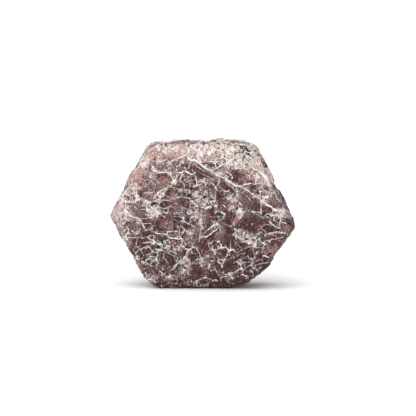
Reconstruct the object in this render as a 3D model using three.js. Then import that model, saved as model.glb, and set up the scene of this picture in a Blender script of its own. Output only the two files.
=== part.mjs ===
// A natural ruby crystal: one tabular hexagonal prism of corundum, worn and cracked, standing
// on one face of its prism. Millimetres, +Z up. The crystal's own axis lies along Y, so its
// broad basal face looks towards -Y and its shortest side is its thickness along Y.
//
// The stone is written as a field: a number that is negative inside it, positive outside it
// and zero on its skin. Flat growth faces are planes, worn edges are a soft maximum of planes,
// and ledges, lumps, hollows and flaked edges are added to the field. Every vertex of a round
// mesh is then moved along its own ray from the centre until the field is zero.

import * as THREE from 'three';
import { mergeVertices } from 'three/addons/utils/BufferGeometryUtils.js';

// ---- driving dimensions, mm ---------------------------------------------------------------

const CENTRE_HEIGHT = 24.9; // from the face it stands on up to the crystal's axis
const HALF_WIDTH = 31; // along X, sets the spread of the mesh only
const HALF_THICKNESS = 12; // along Y, centre to the top of either basal face
const FRONT_CURVE_RADIUS = 110; // the basal faces are slightly crowned
const BACK_CURVE_RADIUS = 170;

const PRISM_EDGE_SOFTNESS = 0.4; // how far worn edges are rounded
const RIM_EDGE_SOFTNESS = 0.8;
const BREAK_EDGE_SOFTNESS = 0.3; // flaked edges stay crisp

const LEDGE_SPACING = 4.6; // growth ledges around the prism, parallel to its basal faces
const LEDGE_DEPTH = 0.34;
const LEDGE_RISER = 0.45; // share of the spacing taken by the riser
const LEDGE_WANDER = 0.16; // how far the ledge lines stray, as a share of the spacing
const LEDGE_WANDER_LENGTH_X = 44;
const LEDGE_WANDER_LENGTH_Z = 31;
const TERRACE_INSETS = [ 5.5, 11.5 ]; // growth terraces on the back, inward from the prism
const TERRACE_DROP = 0.55;
const TERRACE_RISER = 1.1;

const SWELL_LENGTH = 23; // longest of the low swells over the whole skin
const SWELL_HEIGHT = 0.11;
const SWELL_COUNT = 9;
const SWELL_SHRINK = 0.86; // each swell is shorter and lower than the one before
const SWELL_PHASE = 2.1;
const GOLDEN_ANGLE = Math.PI * ( 3 - Math.sqrt( 5 ) );

const MESH_DETAIL = 20; // icosahedron detail: 20 * ( detail + 1 )^2 triangles
const FARTHEST_RAY = 60;
const RAY_HALVINGS = 30;

// ---- growth faces -------------------------------------------------------------------------
// [ angle around the crystal's axis from +X in degrees, lean towards the front in degrees,
//   distance from the centre in mm ]. A lean of 0 is a prism face and 90 the basal face.

const PRISM_FACES = {
	top: [ 90.8, 3, 23.9 ],
	topLeftSlope: [ 98, 3, 25.2 ],
	topRightCorner: [ 63, 4, 27.9 ],
	upperRight: [ 27.2, 3, 25.95 ],
	lowerRight: [ - 34.5, 1, 28.45 ],
	lowerRightCorner: [ - 49, 1, 28.4 ],
	footRightSlope: [ - 82.5, 0, 25.8 ],
	foot: [ - 90, 0, 25.5 ],
	footLeftSlope: [ - 96, 0, 26.15 ],
	lowerLeftCorner: [ 234, 1, 29.3 ],
	lowerLeft: [ 208.6, 1, 27.45 ],
	leftUpper: [ 152.9, 1, 27 ],
	upperLeft: [ 145.5, 1, 28 ],
};

const FRONT_SHOULDERS = {
	top: [ 91, 50, 20.3 ],
	upperRightBroad: [ 59.5, 66, 16.9 ],
	upperRight: [ 28, 45, 23.6 ],
	lowerRight: [ - 36, 45, 26.3 ],
	lowerBroad: [ - 88, 68, 15.9 ],
	foot: [ - 90, 40, 25 ],
	lowerLeft: [ 209, 45, 25.6 ],
	leftBroad: [ 180, 60, 22.2 ],
	upperLeft: [ 150, 48, 24 ],
};

const BACK_SHOULDERS = {
	top: [ 90, - 45, 25.2 ],
	upperRight: [ 27, - 45, 26.2 ],
	lowerRight: [ - 36, - 45, 27 ],
	foot: [ - 90, - 45, 25.6 ],
	lowerLeft: [ 209, - 45, 26.8 ],
	upperLeft: [ 150, - 45, 26.6 ],
};

// ---- lumps, hollows and flaked edges, measured from the crystal's centre -------------------

// [ x, y, z, radius, height ]: low rises, and hollows where the height is negative
const LUMPS = [
	[ - 24.4, - 2, 13.6, 4.6, 0.75 ],
	[ 27.2, - 2, - 5.5, 4, 0.35 ],
	[ - 9.4, - 12, 3.4, 5.2, 0.5 ],
	[ 12.1, - 11, - 2.4, 4.4, 0.45 ],
	[ - 17.1, - 11, 2, 3.4, - 0.75 ],
	[ 0.5, - 12, 4.7, 3, - 0.7 ],
	[ 15.5, - 11, - 8, 4, - 0.6 ],
	[ - 13.8, - 10, - 14.4, 3.2, 0.45 ],
	[ 6.4, - 10, - 13.4, 3, 0.4 ],
	[ 11.6, 12, 6, 6, 0.6 ],
	[ - 8.5, 12, - 7.5, 5, - 0.8 ],
	[ - 15, 12, 9, 3.6, - 0.5 ],
];

// [ x, y, z, radius ]: flakes lost from an edge, each the bite of a sphere
const FLAKES = [
	[ - 22.6, - 9, - 18.9, 2.2 ],
	[ 28.9, - 10, - 7.6, 2 ],
	[ - 24.9, - 8, 17.4, 2 ],
	[ - 2.5, - 9.6, - 26.6, 2.6 ],
	[ 20.4, 13.5, 17.2, 5 ],
	[ - 30.5, 12.6, - 5.6, 4.6 ],
	[ 9, 14.6, - 24.6, 4.4 ],
];

// ---- the field ----------------------------------------------------------------------------

const asPlane = ( [ around, lean, distance ] ) => {

	const angle = THREE.MathUtils.degToRad( around );
	const tilt = THREE.MathUtils.degToRad( lean );
	const normal = new THREE.Vector3(
		Math.cos( angle ) * Math.cos( tilt ),
		- Math.sin( tilt ),
		Math.sin( angle ) * Math.cos( tilt )
	);
	return new THREE.Plane( normal, - distance );

};

const prismPlanes = Object.values( PRISM_FACES ).map( asPlane );
const shoulderPlanes = [ ...Object.values( FRONT_SHOULDERS ), ...Object.values( BACK_SHOULDERS ) ].map( asPlane );
const frontCurveCentre = new THREE.Vector3( 0, FRONT_CURVE_RADIUS - HALF_THICKNESS, 0 );
const backCurveCentre = new THREE.Vector3( 0, HALF_THICKNESS - BACK_CURVE_RADIUS, 0 );

// The largest of the values, with the change from one to the next rounded over.
const softMaximum = ( values, softness ) => {

	const largest = Math.max( ...values );
	const share = values.reduce( ( sum, value ) => sum + Math.exp( ( value - largest ) / softness ), 0 );
	return largest + softness * Math.log( share );

};

// Ledges step the prism in and out along the crystal's axis. Their lines wander a little.
const ledgeDepth = ( point ) => {

	const wanderX = Math.sin( 2 * Math.PI * point.x / LEDGE_WANDER_LENGTH_X );
	const wanderZ = Math.sin( 2 * Math.PI * point.z / LEDGE_WANDER_LENGTH_Z );
	const turn = point.y / LEDGE_SPACING + LEDGE_WANDER * ( wanderX + wanderZ );
	const place = turn - Math.floor( turn );
	return LEDGE_DEPTH * THREE.MathUtils.smoothstep( place, 1 - LEDGE_RISER, 1 );

};

// Terraces follow the outline of the prism and drop the back face towards its rim.
const terraceDrop = ( prismField ) => {

	const drops = TERRACE_INSETS.map( ( inset ) =>
		TERRACE_DROP * THREE.MathUtils.smoothstep( prismField, - inset, TERRACE_RISER - inset ) );
	return drops.reduce( ( sum, drop ) => sum + drop, 0 );

};

const lumpHeight = ( point ) => LUMPS.reduce( ( sum, [ x, y, z, radius, height ] ) => {

	const away = point.distanceTo( new THREE.Vector3( x, y, z ) ) / radius;
	return sum + height * Math.exp( - away * away );

}, 0 );

// Swells are sine waves in directions spread evenly over a sphere.
const swells = Array.from( { length: SWELL_COUNT }, ( _, index ) => {

	const up = 1 - 2 * ( index + 0.5 ) / SWELL_COUNT;
	const across = Math.sqrt( 1 - up * up );
	const turn = GOLDEN_ANGLE * index;
	return {
		direction: new THREE.Vector3( across * Math.cos( turn ), across * Math.sin( turn ), up ),
		length: SWELL_LENGTH * SWELL_SHRINK ** index,
		height: SWELL_HEIGHT * SWELL_SHRINK ** index,
		start: SWELL_PHASE * index,
	};

} );

const swellHeight = ( point ) => swells.reduce( ( sum, { direction, length, height, start } ) =>
	sum + height * Math.sin( 2 * Math.PI * point.dot( direction ) / length + start ), 0 );

const stoneField = ( point ) => {

	const prism = softMaximum( prismPlanes.map( ( plane ) => plane.distanceToPoint( point ) ), PRISM_EDGE_SOFTNESS );
	const front = point.distanceTo( frontCurveCentre ) - FRONT_CURVE_RADIUS;
	const back = point.distanceTo( backCurveCentre ) - BACK_CURVE_RADIUS + terraceDrop( prism );
	const shoulders = shoulderPlanes.map( ( plane ) => plane.distanceToPoint( point ) );
	const whole = softMaximum( [ prism + ledgeDepth( point ), front, back, ...shoulders ], RIM_EDGE_SOFTNESS );
	const worn = whole - lumpHeight( point ) + swellHeight( point );
	const bites = FLAKES.map( ( [ x, y, z, radius ] ) => radius - point.distanceTo( new THREE.Vector3( x, y, z ) ) );
	return softMaximum( [ worn, ...bites ], BREAK_EDGE_SOFTNESS );

};

// ---- the mesh -----------------------------------------------------------------------------

// Halves the ray again and again to find where it leaves the stone.
const skinPoint = ( ray ) => {

	let inside = 0;
	let outside = FARTHEST_RAY;
	const point = new THREE.Vector3();
	for ( let step = 0; step < RAY_HALVINGS; step ++ ) {

		const middle = ( inside + outside ) / 2;
		point.copy( ray ).multiplyScalar( middle );
		if ( stoneField( point ) < 0 ) inside = middle;
		else outside = middle;

	}

	return point;

};

const roundMesh = () => {

	const geometry = new THREE.IcosahedronGeometry( 1, MESH_DETAIL );
	geometry.deleteAttribute( 'normal' );
	geometry.deleteAttribute( 'uv' );
	return mergeVertices( geometry );

};

const crystalGeometry = () => {

	const geometry = roundMesh();
	const position = geometry.attributes.position;
	const ray = new THREE.Vector3();
	for ( let index = 0; index < position.count; index ++ ) {

		ray.fromBufferAttribute( position, index );
		ray.multiply( new THREE.Vector3( HALF_WIDTH, HALF_THICKNESS, CENTRE_HEIGHT ) ).normalize();
		const point = skinPoint( ray );
		const height = Math.max( point.z + CENTRE_HEIGHT, 0 ); // the foot is worn truly flat
		position.setXYZ( index, point.x, point.y, height );

	}

	geometry.computeBoundingBox();
	const middle = geometry.boundingBox.getCenter( new THREE.Vector3() );
	geometry.translate( - middle.x, - middle.y, 0 );
	geometry.computeVertexNormals();
	return geometry;

};

// ---- the part -----------------------------------------------------------------------------

const rubyMaterial = new THREE.MeshStandardMaterial( { color: 0x7a5552, roughness: 0.45, metalness: 0 } );
const crystal = new THREE.Mesh( crystalGeometry(), rubyMaterial );
crystal.name = 'ruby_crystal';

const ruby = new THREE.Group();
ruby.add( crystal );

export default ruby;
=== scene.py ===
# %% [markdown]
# # A natural ruby crystal
# The object is one stone: a thick six-sided tablet of opaque ruby, worn, cracked and healed
# with pale minerals, standing on one face of its prism. The packed model already holds its
# form in about nine thousand flat triangles. This notebook grows a much finer skin in the
# same place, gives it broken grains, veins and stains, and lights it as in a small studio.

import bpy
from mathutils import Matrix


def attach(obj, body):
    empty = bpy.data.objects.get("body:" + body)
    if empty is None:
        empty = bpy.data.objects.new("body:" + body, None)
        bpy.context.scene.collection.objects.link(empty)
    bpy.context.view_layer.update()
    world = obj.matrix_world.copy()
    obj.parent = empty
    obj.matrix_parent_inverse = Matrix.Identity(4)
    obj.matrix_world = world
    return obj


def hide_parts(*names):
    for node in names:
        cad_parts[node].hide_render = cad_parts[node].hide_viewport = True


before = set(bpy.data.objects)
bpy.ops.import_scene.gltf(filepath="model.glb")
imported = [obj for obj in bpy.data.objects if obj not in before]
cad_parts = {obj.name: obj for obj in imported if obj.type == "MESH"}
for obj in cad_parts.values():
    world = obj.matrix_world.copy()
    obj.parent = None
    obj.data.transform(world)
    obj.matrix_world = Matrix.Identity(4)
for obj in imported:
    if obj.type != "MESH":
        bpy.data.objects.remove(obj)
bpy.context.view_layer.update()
print("solid pieces in the frame:", sorted(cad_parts))

# %% [markdown]
# ## Units and the camera
# Lengths are kept in millimetres while the stone is worked out, because a mineral is
# measured that way, and become metres when the mesh is made. The camera comes first: the
# veins that a collector would know this stone by are drawn as the camera sees them and then
# carried back on to the stone along its rays. A long lens far away keeps the hexagon almost
# free of perspective.

# %% Units and the camera
import math

import bpy
import numpy as np
from mathutils import Euler, Vector

METRE = 1000.0  # millimetres in a metre
PICTURE_SIZE = 416  # the camera's view is this many pixels wide and high
LENS = 100.0
SENSOR = 36.0
VIEW_AZIMUTH = 4.0
VIEW_ELEVATION = 5.0
VIEW_DISTANCE = 388.3
AIM = np.array([1.55, 0.0, 26.4])

azimuth, elevation = math.radians(VIEW_AZIMUTH), math.radians(VIEW_ELEVATION)
towards_viewer = np.array([
    math.sin(azimuth) * math.cos(elevation),
    -math.cos(azimuth) * math.cos(elevation),
    math.sin(elevation),
])
picture_right = np.array([math.cos(azimuth), math.sin(azimuth), 0.0])
picture_up = np.cross(towards_viewer, picture_right)
eye = AIM + towards_viewer * VIEW_DISTANCE
PIXEL = VIEW_DISTANCE * SENSOR / LENS / PICTURE_SIZE  # millimetres per pixel at the stone
print(f"one pixel covers {PIXEL:.3f} mm at the stone")


# %% From a point of the stone to its pixel
def picture_place(points):
    """Pixel column and row of each point: its sideways and upward distance from the line of
    sight, divided by its distance along it, times the lens's pixels. Whole numbers are the
    middles of pixels."""
    away = points - eye
    depth = -(away @ towards_viewer)
    pixels = LENS / SENSOR * PICTURE_SIZE
    column = (PICTURE_SIZE - 1) / 2 + away @ picture_right / depth * pixels
    row = (PICTURE_SIZE - 1) / 2 - away @ picture_up / depth * pixels
    return np.stack([column, row], axis=-1)


print("the origin is seen at column and row", np.round(picture_place(np.zeros((1, 3)))[0], 1))

# %% [markdown]
# ## The form of the crystal
# Corundum grows as a six-sided prism closed by two flat basal faces. Each growth face is a
# plane, given by its angle around the crystal's axis, its lean towards the front and its
# distance from the centre. A boolean cut of a block by those planes would give knife edges,
# and bevels on them would all be alike. Here the planes are joined by a soft maximum
# instead: a number that is negative inside the stone and zero on its skin, whose edges are
# rounded by as much as the wear asks for. The faces are the solid model's. Five of them, at
# the left and at the two lower corners, lie up to half a millimetre deeper here, where the
# rough skin is worn lower than flat triangles follow it.

# %% Growth faces of the prism
CENTRE_HEIGHT = 24.9
HALF_WIDTH = 31.0
HALF_THICKNESS = 12.0

# Around the axis and lean in degrees, distance from the centre in millimetres.
PRISM_FACES = {
    "top": (90.8, 3, 23.9),
    "top left slope": (98, 3, 25.2),
    "top right corner": (63, 4, 27.9),
    "upper right": (27.2, 3, 25.95),
    "lower right": (-34.5, 1, 28.45),
    "lower right corner": (-49, 1, 27.9),
    "foot right slope": (-82.5, 0, 25.8),
    "foot": (-90, 0, 25.5),
    "foot left slope": (-96, 0, 26.15),
    "lower left corner": (234, 1, 28.8),
    "lower left": (208.6, 1, 27.2),
    "left upper": (152.9, 1, 26.6),
    "upper left": (145.5, 1, 27.5),
}
FRONT_SHOULDERS = {
    "top": (91, 50, 20.3),
    "upper right broad": (59.5, 66, 16.9),
    "upper right": (28, 45, 23.6),
    "lower right": (-36, 45, 26.3),
    "lower broad": (-88, 68, 15.9),
    "foot": (-90, 40, 25),
    "lower left": (209, 45, 25.6),
    "left broad": (180, 60, 22.2),
    "upper left": (150, 48, 24),
}
BACK_SHOULDERS = {
    "top": (90, -45, 25.2),
    "upper right": (27, -45, 26.2),
    "lower right": (-36, -45, 27),
    "foot": (-90, -45, 25.6),
    "lower left": (209, -45, 26.8),
    "upper left": (150, -45, 26.6),
}
SHOULDERS = {**{f"front {name}": face for name, face in FRONT_SHOULDERS.items()},
             **{f"back {name}": face for name, face in BACK_SHOULDERS.items()}}
print("growth faces:", len(PRISM_FACES), "on the prism and", len(SHOULDERS), "shoulders")


# %% Heights over faces, and soft edges between them
def face_heights(points, faces):
    """Height of each point over each face: the point times the face's outward direction,
    less the face's distance from the centre."""
    around, lean, distance = np.array(list(faces.values()), dtype=float).T
    around, lean = np.radians(around), np.radians(lean)
    outward = np.stack([
        np.cos(around) * np.cos(lean),
        -np.sin(lean),
        np.sin(around) * np.cos(lean),
    ])
    return points @ outward - distance


def soft_maximum(heights, softness):
    """The largest height, plus softness times the logarithm of the sum of every height's
    share, so that one face rounds over into the next."""
    largest = heights.max(axis=-1, keepdims=True)
    share = np.exp((heights - largest) / softness).sum(axis=-1)
    return largest[..., 0] + softness * np.log(share)


def smooth_step(low, high, value):
    """Nought below low, one above high, and an S between: 3t squared less 2t cubed."""
    t = np.clip((value - low) / (high - low), 0.0, 1.0)
    return t * t * (3.0 - 2.0 * t)


print("1 mm of softness rounds an even edge by", soft_maximum(np.zeros(2), 1.0).round(2), "mm")

# %% [markdown]
# ## Growth steps
# The prism grew in steps, which show as ledges running round it, and the back face kept its
# growth terraces. They could be cut as separate grooves, but as terms of the same field they
# blend with the faces and nothing has to be cleaned up.

# %% Ledges round the prism and terraces on the back
LEDGE_SPACING = 4.6
LEDGE_DEPTH = 0.34
LEDGE_RISER = 0.45  # share of the spacing
LEDGE_WANDER = 0.16
LEDGE_WANDER_LENGTH_X = 44.0
LEDGE_WANDER_LENGTH_Z = 31.0
TERRACE_INSETS = (5.5, 11.5)
TERRACE_DROP = 0.55
TERRACE_RISER = 1.1


def ledge_depth(points):
    """Depth of the ledges: a riser once in every spacing along the axis, on wandering
    lines."""
    wander = (np.sin(2 * np.pi * points[..., 0] / LEDGE_WANDER_LENGTH_X)
              + np.sin(2 * np.pi * points[..., 2] / LEDGE_WANDER_LENGTH_Z))
    turn = points[..., 1] / LEDGE_SPACING + LEDGE_WANDER * wander
    return LEDGE_DEPTH * smooth_step(1 - LEDGE_RISER, 1.0, turn - np.floor(turn))


def terrace_drop(prism):
    """Drop of the back face: one riser for each inset, at that depth inside the prism."""
    return sum(TERRACE_DROP * smooth_step(-inset, TERRACE_RISER - inset, prism)
               for inset in TERRACE_INSETS)


print("ledges through the thickness:", round(2 * HALF_THICKNESS / LEDGE_SPACING, 1))

# %% [markdown]
# ## Swells, lumps and lost flakes
# No growth face is quite flat. A few low waves in all directions keep the light moving over
# it, bell-shaped rises and hollows follow the larger lumps, and a sphere's bite marks each
# place where a knock took a flake from an edge. Sculpting would do as well by hand, but a
# list of places can be read and changed. The solid model has most of these too. Its first
# lump is higher, and the last three are only in this skin.

# %% Swells, lumps and flakes
SWELL_LENGTH = 23.0
SWELL_HEIGHT = 0.11
SWELL_COUNT = 9
SWELL_SHRINK = 0.86
SWELL_PHASE = 2.1
GOLDEN_ANGLE = math.pi * (3.0 - math.sqrt(5.0))

# Place from the centre, radius and height of each rise; a negative height is a hollow.
LUMPS = [
    (-24.4, -2.0, 13.6, 4.6, 0.3),
    (27.2, -2.0, -5.5, 4.0, 0.35),
    (-9.4, -12.0, 3.4, 5.2, 0.5),
    (12.1, -11.0, -2.4, 4.4, 0.45),
    (-17.1, -11.0, 2.0, 3.4, -0.75),
    (0.5, -12.0, 4.7, 3.0, -0.7),
    (15.5, -11.0, -8.0, 4.0, -0.6),
    (-13.8, -10.0, -14.4, 3.2, 0.45),
    (6.4, -10.0, -13.4, 3.0, 0.4),
    (11.6, 12.0, 6.0, 6.0, 0.6),
    (-8.5, 12.0, -7.5, 5.0, -0.8),
    (-15.0, 12.0, 9.0, 3.6, -0.5),
    (-21.9, -2.0, -20.0, 4.6, -0.8),
    (27.0, 7.0, 5.4, 6.0, 0.55),
    (21.7, 7.0, 16.0, 4.5, 0.4),
]
# Place from the centre and radius of the bite that each lost flake left.
FLAKES = [
    (-22.6, -9.0, -18.9, 2.2),
    (28.9, -10.0, -7.6, 2.0),
    (-24.9, -8.0, 17.4, 2.0),
    (-2.5, -9.6, -26.6, 2.6),
    (20.4, 13.5, 17.2, 5.0),
    (-30.5, 12.6, -5.6, 4.6),
    (9.0, 14.6, -24.6, 4.4),
]


def distance_from(points, centre):
    """Straight distance of each point from one place."""
    return np.linalg.norm(points - np.array(centre), axis=-1)


def swell_height(points):
    """Sum of sine waves in directions spread evenly over a sphere, each shorter and lower
    than the one before."""
    height = np.zeros(points.shape[:-1])
    for index in range(SWELL_COUNT):
        up = 1 - 2 * (index + 0.5) / SWELL_COUNT
        across, turn = math.sqrt(1 - up * up), GOLDEN_ANGLE * index
        direction = np.array([across * math.cos(turn), across * math.sin(turn), up])
        fade = SWELL_SHRINK ** index
        wave = 2 * np.pi * (points @ direction) / (SWELL_LENGTH * fade) + SWELL_PHASE * index
        height += SWELL_HEIGHT * fade * np.sin(wave)
    return height


def lump_height(points):
    """Sum of bell-shaped rises: height times e to the minus squared distance in radii."""
    return sum(height * np.exp(-(distance_from(points, (x, y, z)) / radius) ** 2)
               for x, y, z, radius, height in LUMPS)


print("lumps and hollows:", len(LUMPS), "lost flakes:", len(FLAKES))

# %% [markdown]
# ## The whole stone as one field
# Both basal faces are slightly crowned, as spheres of a large radius. The field joins them
# to the stepped prism and the shoulders, adds the lumps and swells, and lets the flakes bite
# with a crisper edge, because a break is sharper than a worn rim.

# %% The whole stone as one field
FRONT_CURVE_RADIUS = 110.0
BACK_CURVE_RADIUS = 170.0
PRISM_EDGE_SOFTNESS = 0.4
RIM_EDGE_SOFTNESS = 0.8
BREAK_EDGE_SOFTNESS = 0.3
FRONT_CURVE_CENTRE = (0.0, FRONT_CURVE_RADIUS - HALF_THICKNESS, 0.0)
BACK_CURVE_CENTRE = (0.0, HALF_THICKNESS - BACK_CURVE_RADIUS, 0.0)


def stone_field(points):
    """Negative inside the stone: the soft maximum of the stepped prism, both crowned basal
    faces and the shoulders, less the lumps, plus the swells, bitten by the flakes."""
    prism = soft_maximum(face_heights(points, PRISM_FACES), PRISM_EDGE_SOFTNESS)
    front = distance_from(points, FRONT_CURVE_CENTRE) - FRONT_CURVE_RADIUS
    back = distance_from(points, BACK_CURVE_CENTRE) - BACK_CURVE_RADIUS + terrace_drop(prism)
    sides = np.stack([prism + ledge_depth(points), front, back], axis=-1)
    heights = np.concatenate([sides, face_heights(points, SHOULDERS)], axis=-1)
    sheen_and_wear = soft_maximum(heights, RIM_EDGE_SOFTNESS) - lump_height(points) + swell_height(points)
    bites = [radius - distance_from(points, (x, y, z)) for x, y, z, radius in FLAKES]
    return soft_maximum(np.stack([sheen_and_wear, *bites], axis=-1), BREAK_EDGE_SOFTNESS)


print(f"field at the centre {stone_field(np.zeros((1, 3)))[0]:.2f} mm")

# %% [markdown]
# ## A grid of rays
# A sphere's latitude and longitude grid would crowd its vertices at two poles. Six flat
# grids, one on each side of a box about the size of the stone, give rays that meet the skin
# at nearly even steps, and their shared edges are merged so that the skin is closed.

# %% Rays through the sides of a box
STEPS = (178, 52, 144)  # along X, Y and Z: about a third of a millimetre on the front
BOX_HALF_SIZE = np.array([HALF_WIDTH, HALF_THICKNESS, CENTRE_HEIGHT])
MERGE_PLACES = 6  # decimals to which the grid is rounded before edges are merged


def box_side(axis, side, first_number):
    """One side of the box as a grid of two parameters, each from -1 to 1, with its quads
    wound to face outwards."""
    first, second = (axis + 1) % 3, (axis + 2) % 3
    a, b = np.meshgrid(np.linspace(-1, 1, STEPS[first] + 1),
                       np.linspace(-1, 1, STEPS[second] + 1), indexing="ij")
    points = np.empty(a.shape + (3,))
    points[..., axis], points[..., first], points[..., second] = side, a, b
    number = first_number + np.arange(a.size).reshape(a.shape)
    quads = np.stack([number[:-1, :-1], number[1:, :-1], number[1:, 1:], number[:-1, 1:]], -1)
    quads = quads.reshape(-1, 4)  # four corners each
    return points.reshape(-1, 3), quads if side > 0 else quads[:, ::-1]


def box_grid():
    """All six sides with the vertices on their shared edges merged into one."""
    points, quads, count = [], [], 0
    for axis in range(3):
        for side in (-1, 1):
            more_points, more_quads = box_side(axis, side, count)
            points.append(more_points)
            quads.append(more_quads)
            count += len(more_points)
    points = np.round(np.concatenate(points), MERGE_PLACES)
    points, number = np.unique(points, axis=0, return_inverse=True)
    return points, number.reshape(-1)[np.concatenate(quads)]


box_points, quads = box_grid()
rays = box_points * BOX_HALF_SIZE
rays /= np.linalg.norm(rays, axis=1, keepdims=True)
print("vertices", len(rays), "triangles", 2 * len(quads))

# %% [markdown]
# ## The skin and its outward directions
# Each ray is halved again and again to find where the field is zero. The field's steepest
# way up is the outward direction of the skin. A second, broader one is measured over exactly
# one ledge, so that the ledges cancel out of it: it says which way a whole face looks.

# %% The skin and its outward directions
FARTHEST_RAY = 60.0
RAY_HALVINGS = 24
PROBE = 0.05


def skin_points(rays):
    """Each ray's crossing of the skin, found by halving the stretch that holds it."""
    inside, outside = np.zeros(len(rays)), np.full(len(rays), FARTHEST_RAY)
    for _ in range(RAY_HALVINGS):
        middle = (inside + outside) / 2
        buried = stone_field(rays * middle[:, None]) < 0
        inside, outside = np.where(buried, middle, inside), np.where(buried, outside, middle)
    return rays * inside[:, None]


def outward_directions(points, reach):
    """The field's steepest way up, from its change between the two ends of a probe of the
    given reach along each axis."""
    change = [stone_field(points + probe) - stone_field(points - probe)
              for probe in reach * np.eye(3)]
    change = np.stack(change, axis=-1)
    return change / np.linalg.norm(change, axis=1, keepdims=True)


skin = skin_points(rays)
outward = outward_directions(skin, PROBE)
broad_outward = outward_directions(skin, LEDGE_SPACING / 2)
middle = (skin.min(axis=0) + skin.max(axis=0)) / 2
to_frame = np.array([-middle[0], -middle[1], CENTRE_HEIGHT])
print("form spans", np.round(np.ptp(skin, axis=0), 2), "mm")

# %% [markdown]
# ## Repeatable randomness
# A stone needs irregular detail that is the same on every run. A hash of whole-number cell
# coordinates gives each cell its own fixed random number, and smoothing between the corners
# of a cell makes cloudy noise. The lattice of cells is turned, so that none of its planes
# lies along a face of the stone, where it would show as straight lines.

# %% A fixed random number for each cell
HASH_MULTIPLIERS = np.array([374761393, 668265263, 2147483647, 974711], dtype=np.int64)
HASH_MIX = 1274126177
HASH_MASK = 0xFFFFFFFF
HASH_LEVELS = 0xFFFF
HASH_FOLDS = (13, 16)  # bits by which a number is folded on itself
LATTICE_TURN = (0.7, 0.5, 0.9)  # radians
turned_skin = skin @ np.array(Euler(LATTICE_TURN).to_matrix())


def cell_random(cells, seed):
    """A fixed random number from 0 to 1 for each whole-number cell: its coordinates times
    large numbers, folded on themselves."""
    mixed = cells.astype(np.int64) @ HASH_MULTIPLIERS[:3] + seed * HASH_MULTIPLIERS[3]
    mixed &= HASH_MASK
    mixed = ((mixed ^ (mixed >> HASH_FOLDS[0])) * HASH_MIX) & HASH_MASK
    return ((mixed ^ (mixed >> HASH_FOLDS[1])) & HASH_LEVELS) / HASH_LEVELS


print("first three cells:", np.round(cell_random(np.eye(3), 0), 2))


# %% Cloudy noise
def cloud(points, size, seed):
    """Noise from -1 to 1 with features of the given size: the hashes at a cell's eight
    corners, blended by an S curve along each axis."""
    place = points / size + 0.5
    cell = np.floor(place)
    t = place - cell
    t = t * t * (3 - 2 * t)
    total = np.zeros(points.shape[:-1])
    for corner in np.ndindex(2, 2, 2):
        corner = np.array(corner)
        share = np.prod(np.where(corner == 1, t, 1 - t), axis=-1)
        total += share * cell_random(cell + corner, seed)
    return 2 * total - 1


def layered_cloud(points, size, seed, layers=3):
    """Several clouds, each half the size and height of the one before."""
    total = sum(cloud(points, size / 2 ** layer, seed + layer) / 2 ** layer
                for layer in range(layers))
    return total / (2 - 2 ** (1 - layers))


def stray(points, size, amount, seed):
    """Points pushed sideways by three independent clouds."""
    push = [cloud(points, size, seed + axis) for axis in range(3)]
    return points + amount * np.stack(push, axis=-1)


print("a cloud varies by", round(float(cloud(turned_skin, 1.0, 0).std()), 2), "either way")

# %% [markdown]
# ## Broken grains
# Crushing left the stone as grains that fit together, with cracks between them. One seed is
# scattered in each cell of the lattice, and the ground nearest a seed is its grain. The
# shader's own cell texture can draw such a pattern, but the relief has to follow the same
# cracks as the colour, so the pattern is worked out here, at two sizes.

# %% Seeds of the grains
SEED_SPREAD = 0.9  # share of a cell over which its seed is scattered


def grain_seeds(home, offset, size, seed):
    """The scattered seed point of the cell next to each home cell."""
    cell = home + np.array(offset)
    jitter = [cell_random(cell, seed + axis) for axis in range(3)]
    return (cell + 0.5 + SEED_SPREAD * (np.stack(jitter, axis=-1) - 0.5)) * size


def nearest_seeds(points, home, offsets, size, seed):
    """For every point, the seed that it lies nearest to."""
    nearest = np.full(len(points), np.inf)
    own = np.zeros_like(points)
    for offset in offsets:
        place = grain_seeds(home, offset, size, seed)
        away = np.linalg.norm(points - place, axis=1)
        closer = away < nearest
        nearest = np.where(closer, away, nearest)
        own[closer] = place[closer]
    return own


print("a seed lies up to", SEED_SPREAD / 2, "of a cell from the cell's middle, along each axis")

# %% Walls between the grains
SAME_SEED_SHARE = 0.01  # seeds closer than this share of a cell are the same one
PAIR_STEPS, OWN_STEPS = 8, 16  # steps in a cell to which places are rounded for a hash
WALL_SEED, GRAIN_SEED = 7, 5


def broken_grains(points, size, seed):
    """Splits space into grains, each the ground nearest one seed. Gives the way and distance
    to the nearest wall, which lies halfway to a neighbour's seed, each grain's own seed, a
    random number for the grain and one for the wall."""
    home = np.floor(points / size)
    offsets = [np.array(o) - 1 for o in np.ndindex(3, 3, 3)]
    own = nearest_seeds(points, home, offsets, size, seed)
    reach = np.full(len(points), size)
    way = np.zeros_like(points)
    wall = np.zeros(len(points))
    for offset in offsets:
        place = grain_seeds(home, offset, size, seed)
        across = place - own
        length = np.linalg.norm(across, axis=1)
        real = length > size * SAME_SEED_SHARE
        across = across / np.maximum(length, size * SAME_SEED_SHARE)[:, None]
        distance = np.einsum("ij,ij->i", (place + own) / 2 - points, across)
        closer = real & (distance < reach)
        reach = np.where(closer, distance, reach)
        way[closer] = (across * distance[:, None])[closer]
        pair = np.round((place + own) * PAIR_STEPS / size)
        wall[closer] = cell_random(pair, seed + WALL_SEED)[closer]
    grain = cell_random(np.round(own * OWN_STEPS / size), seed + GRAIN_SEED)
    return way, reach, own, grain, wall


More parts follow.
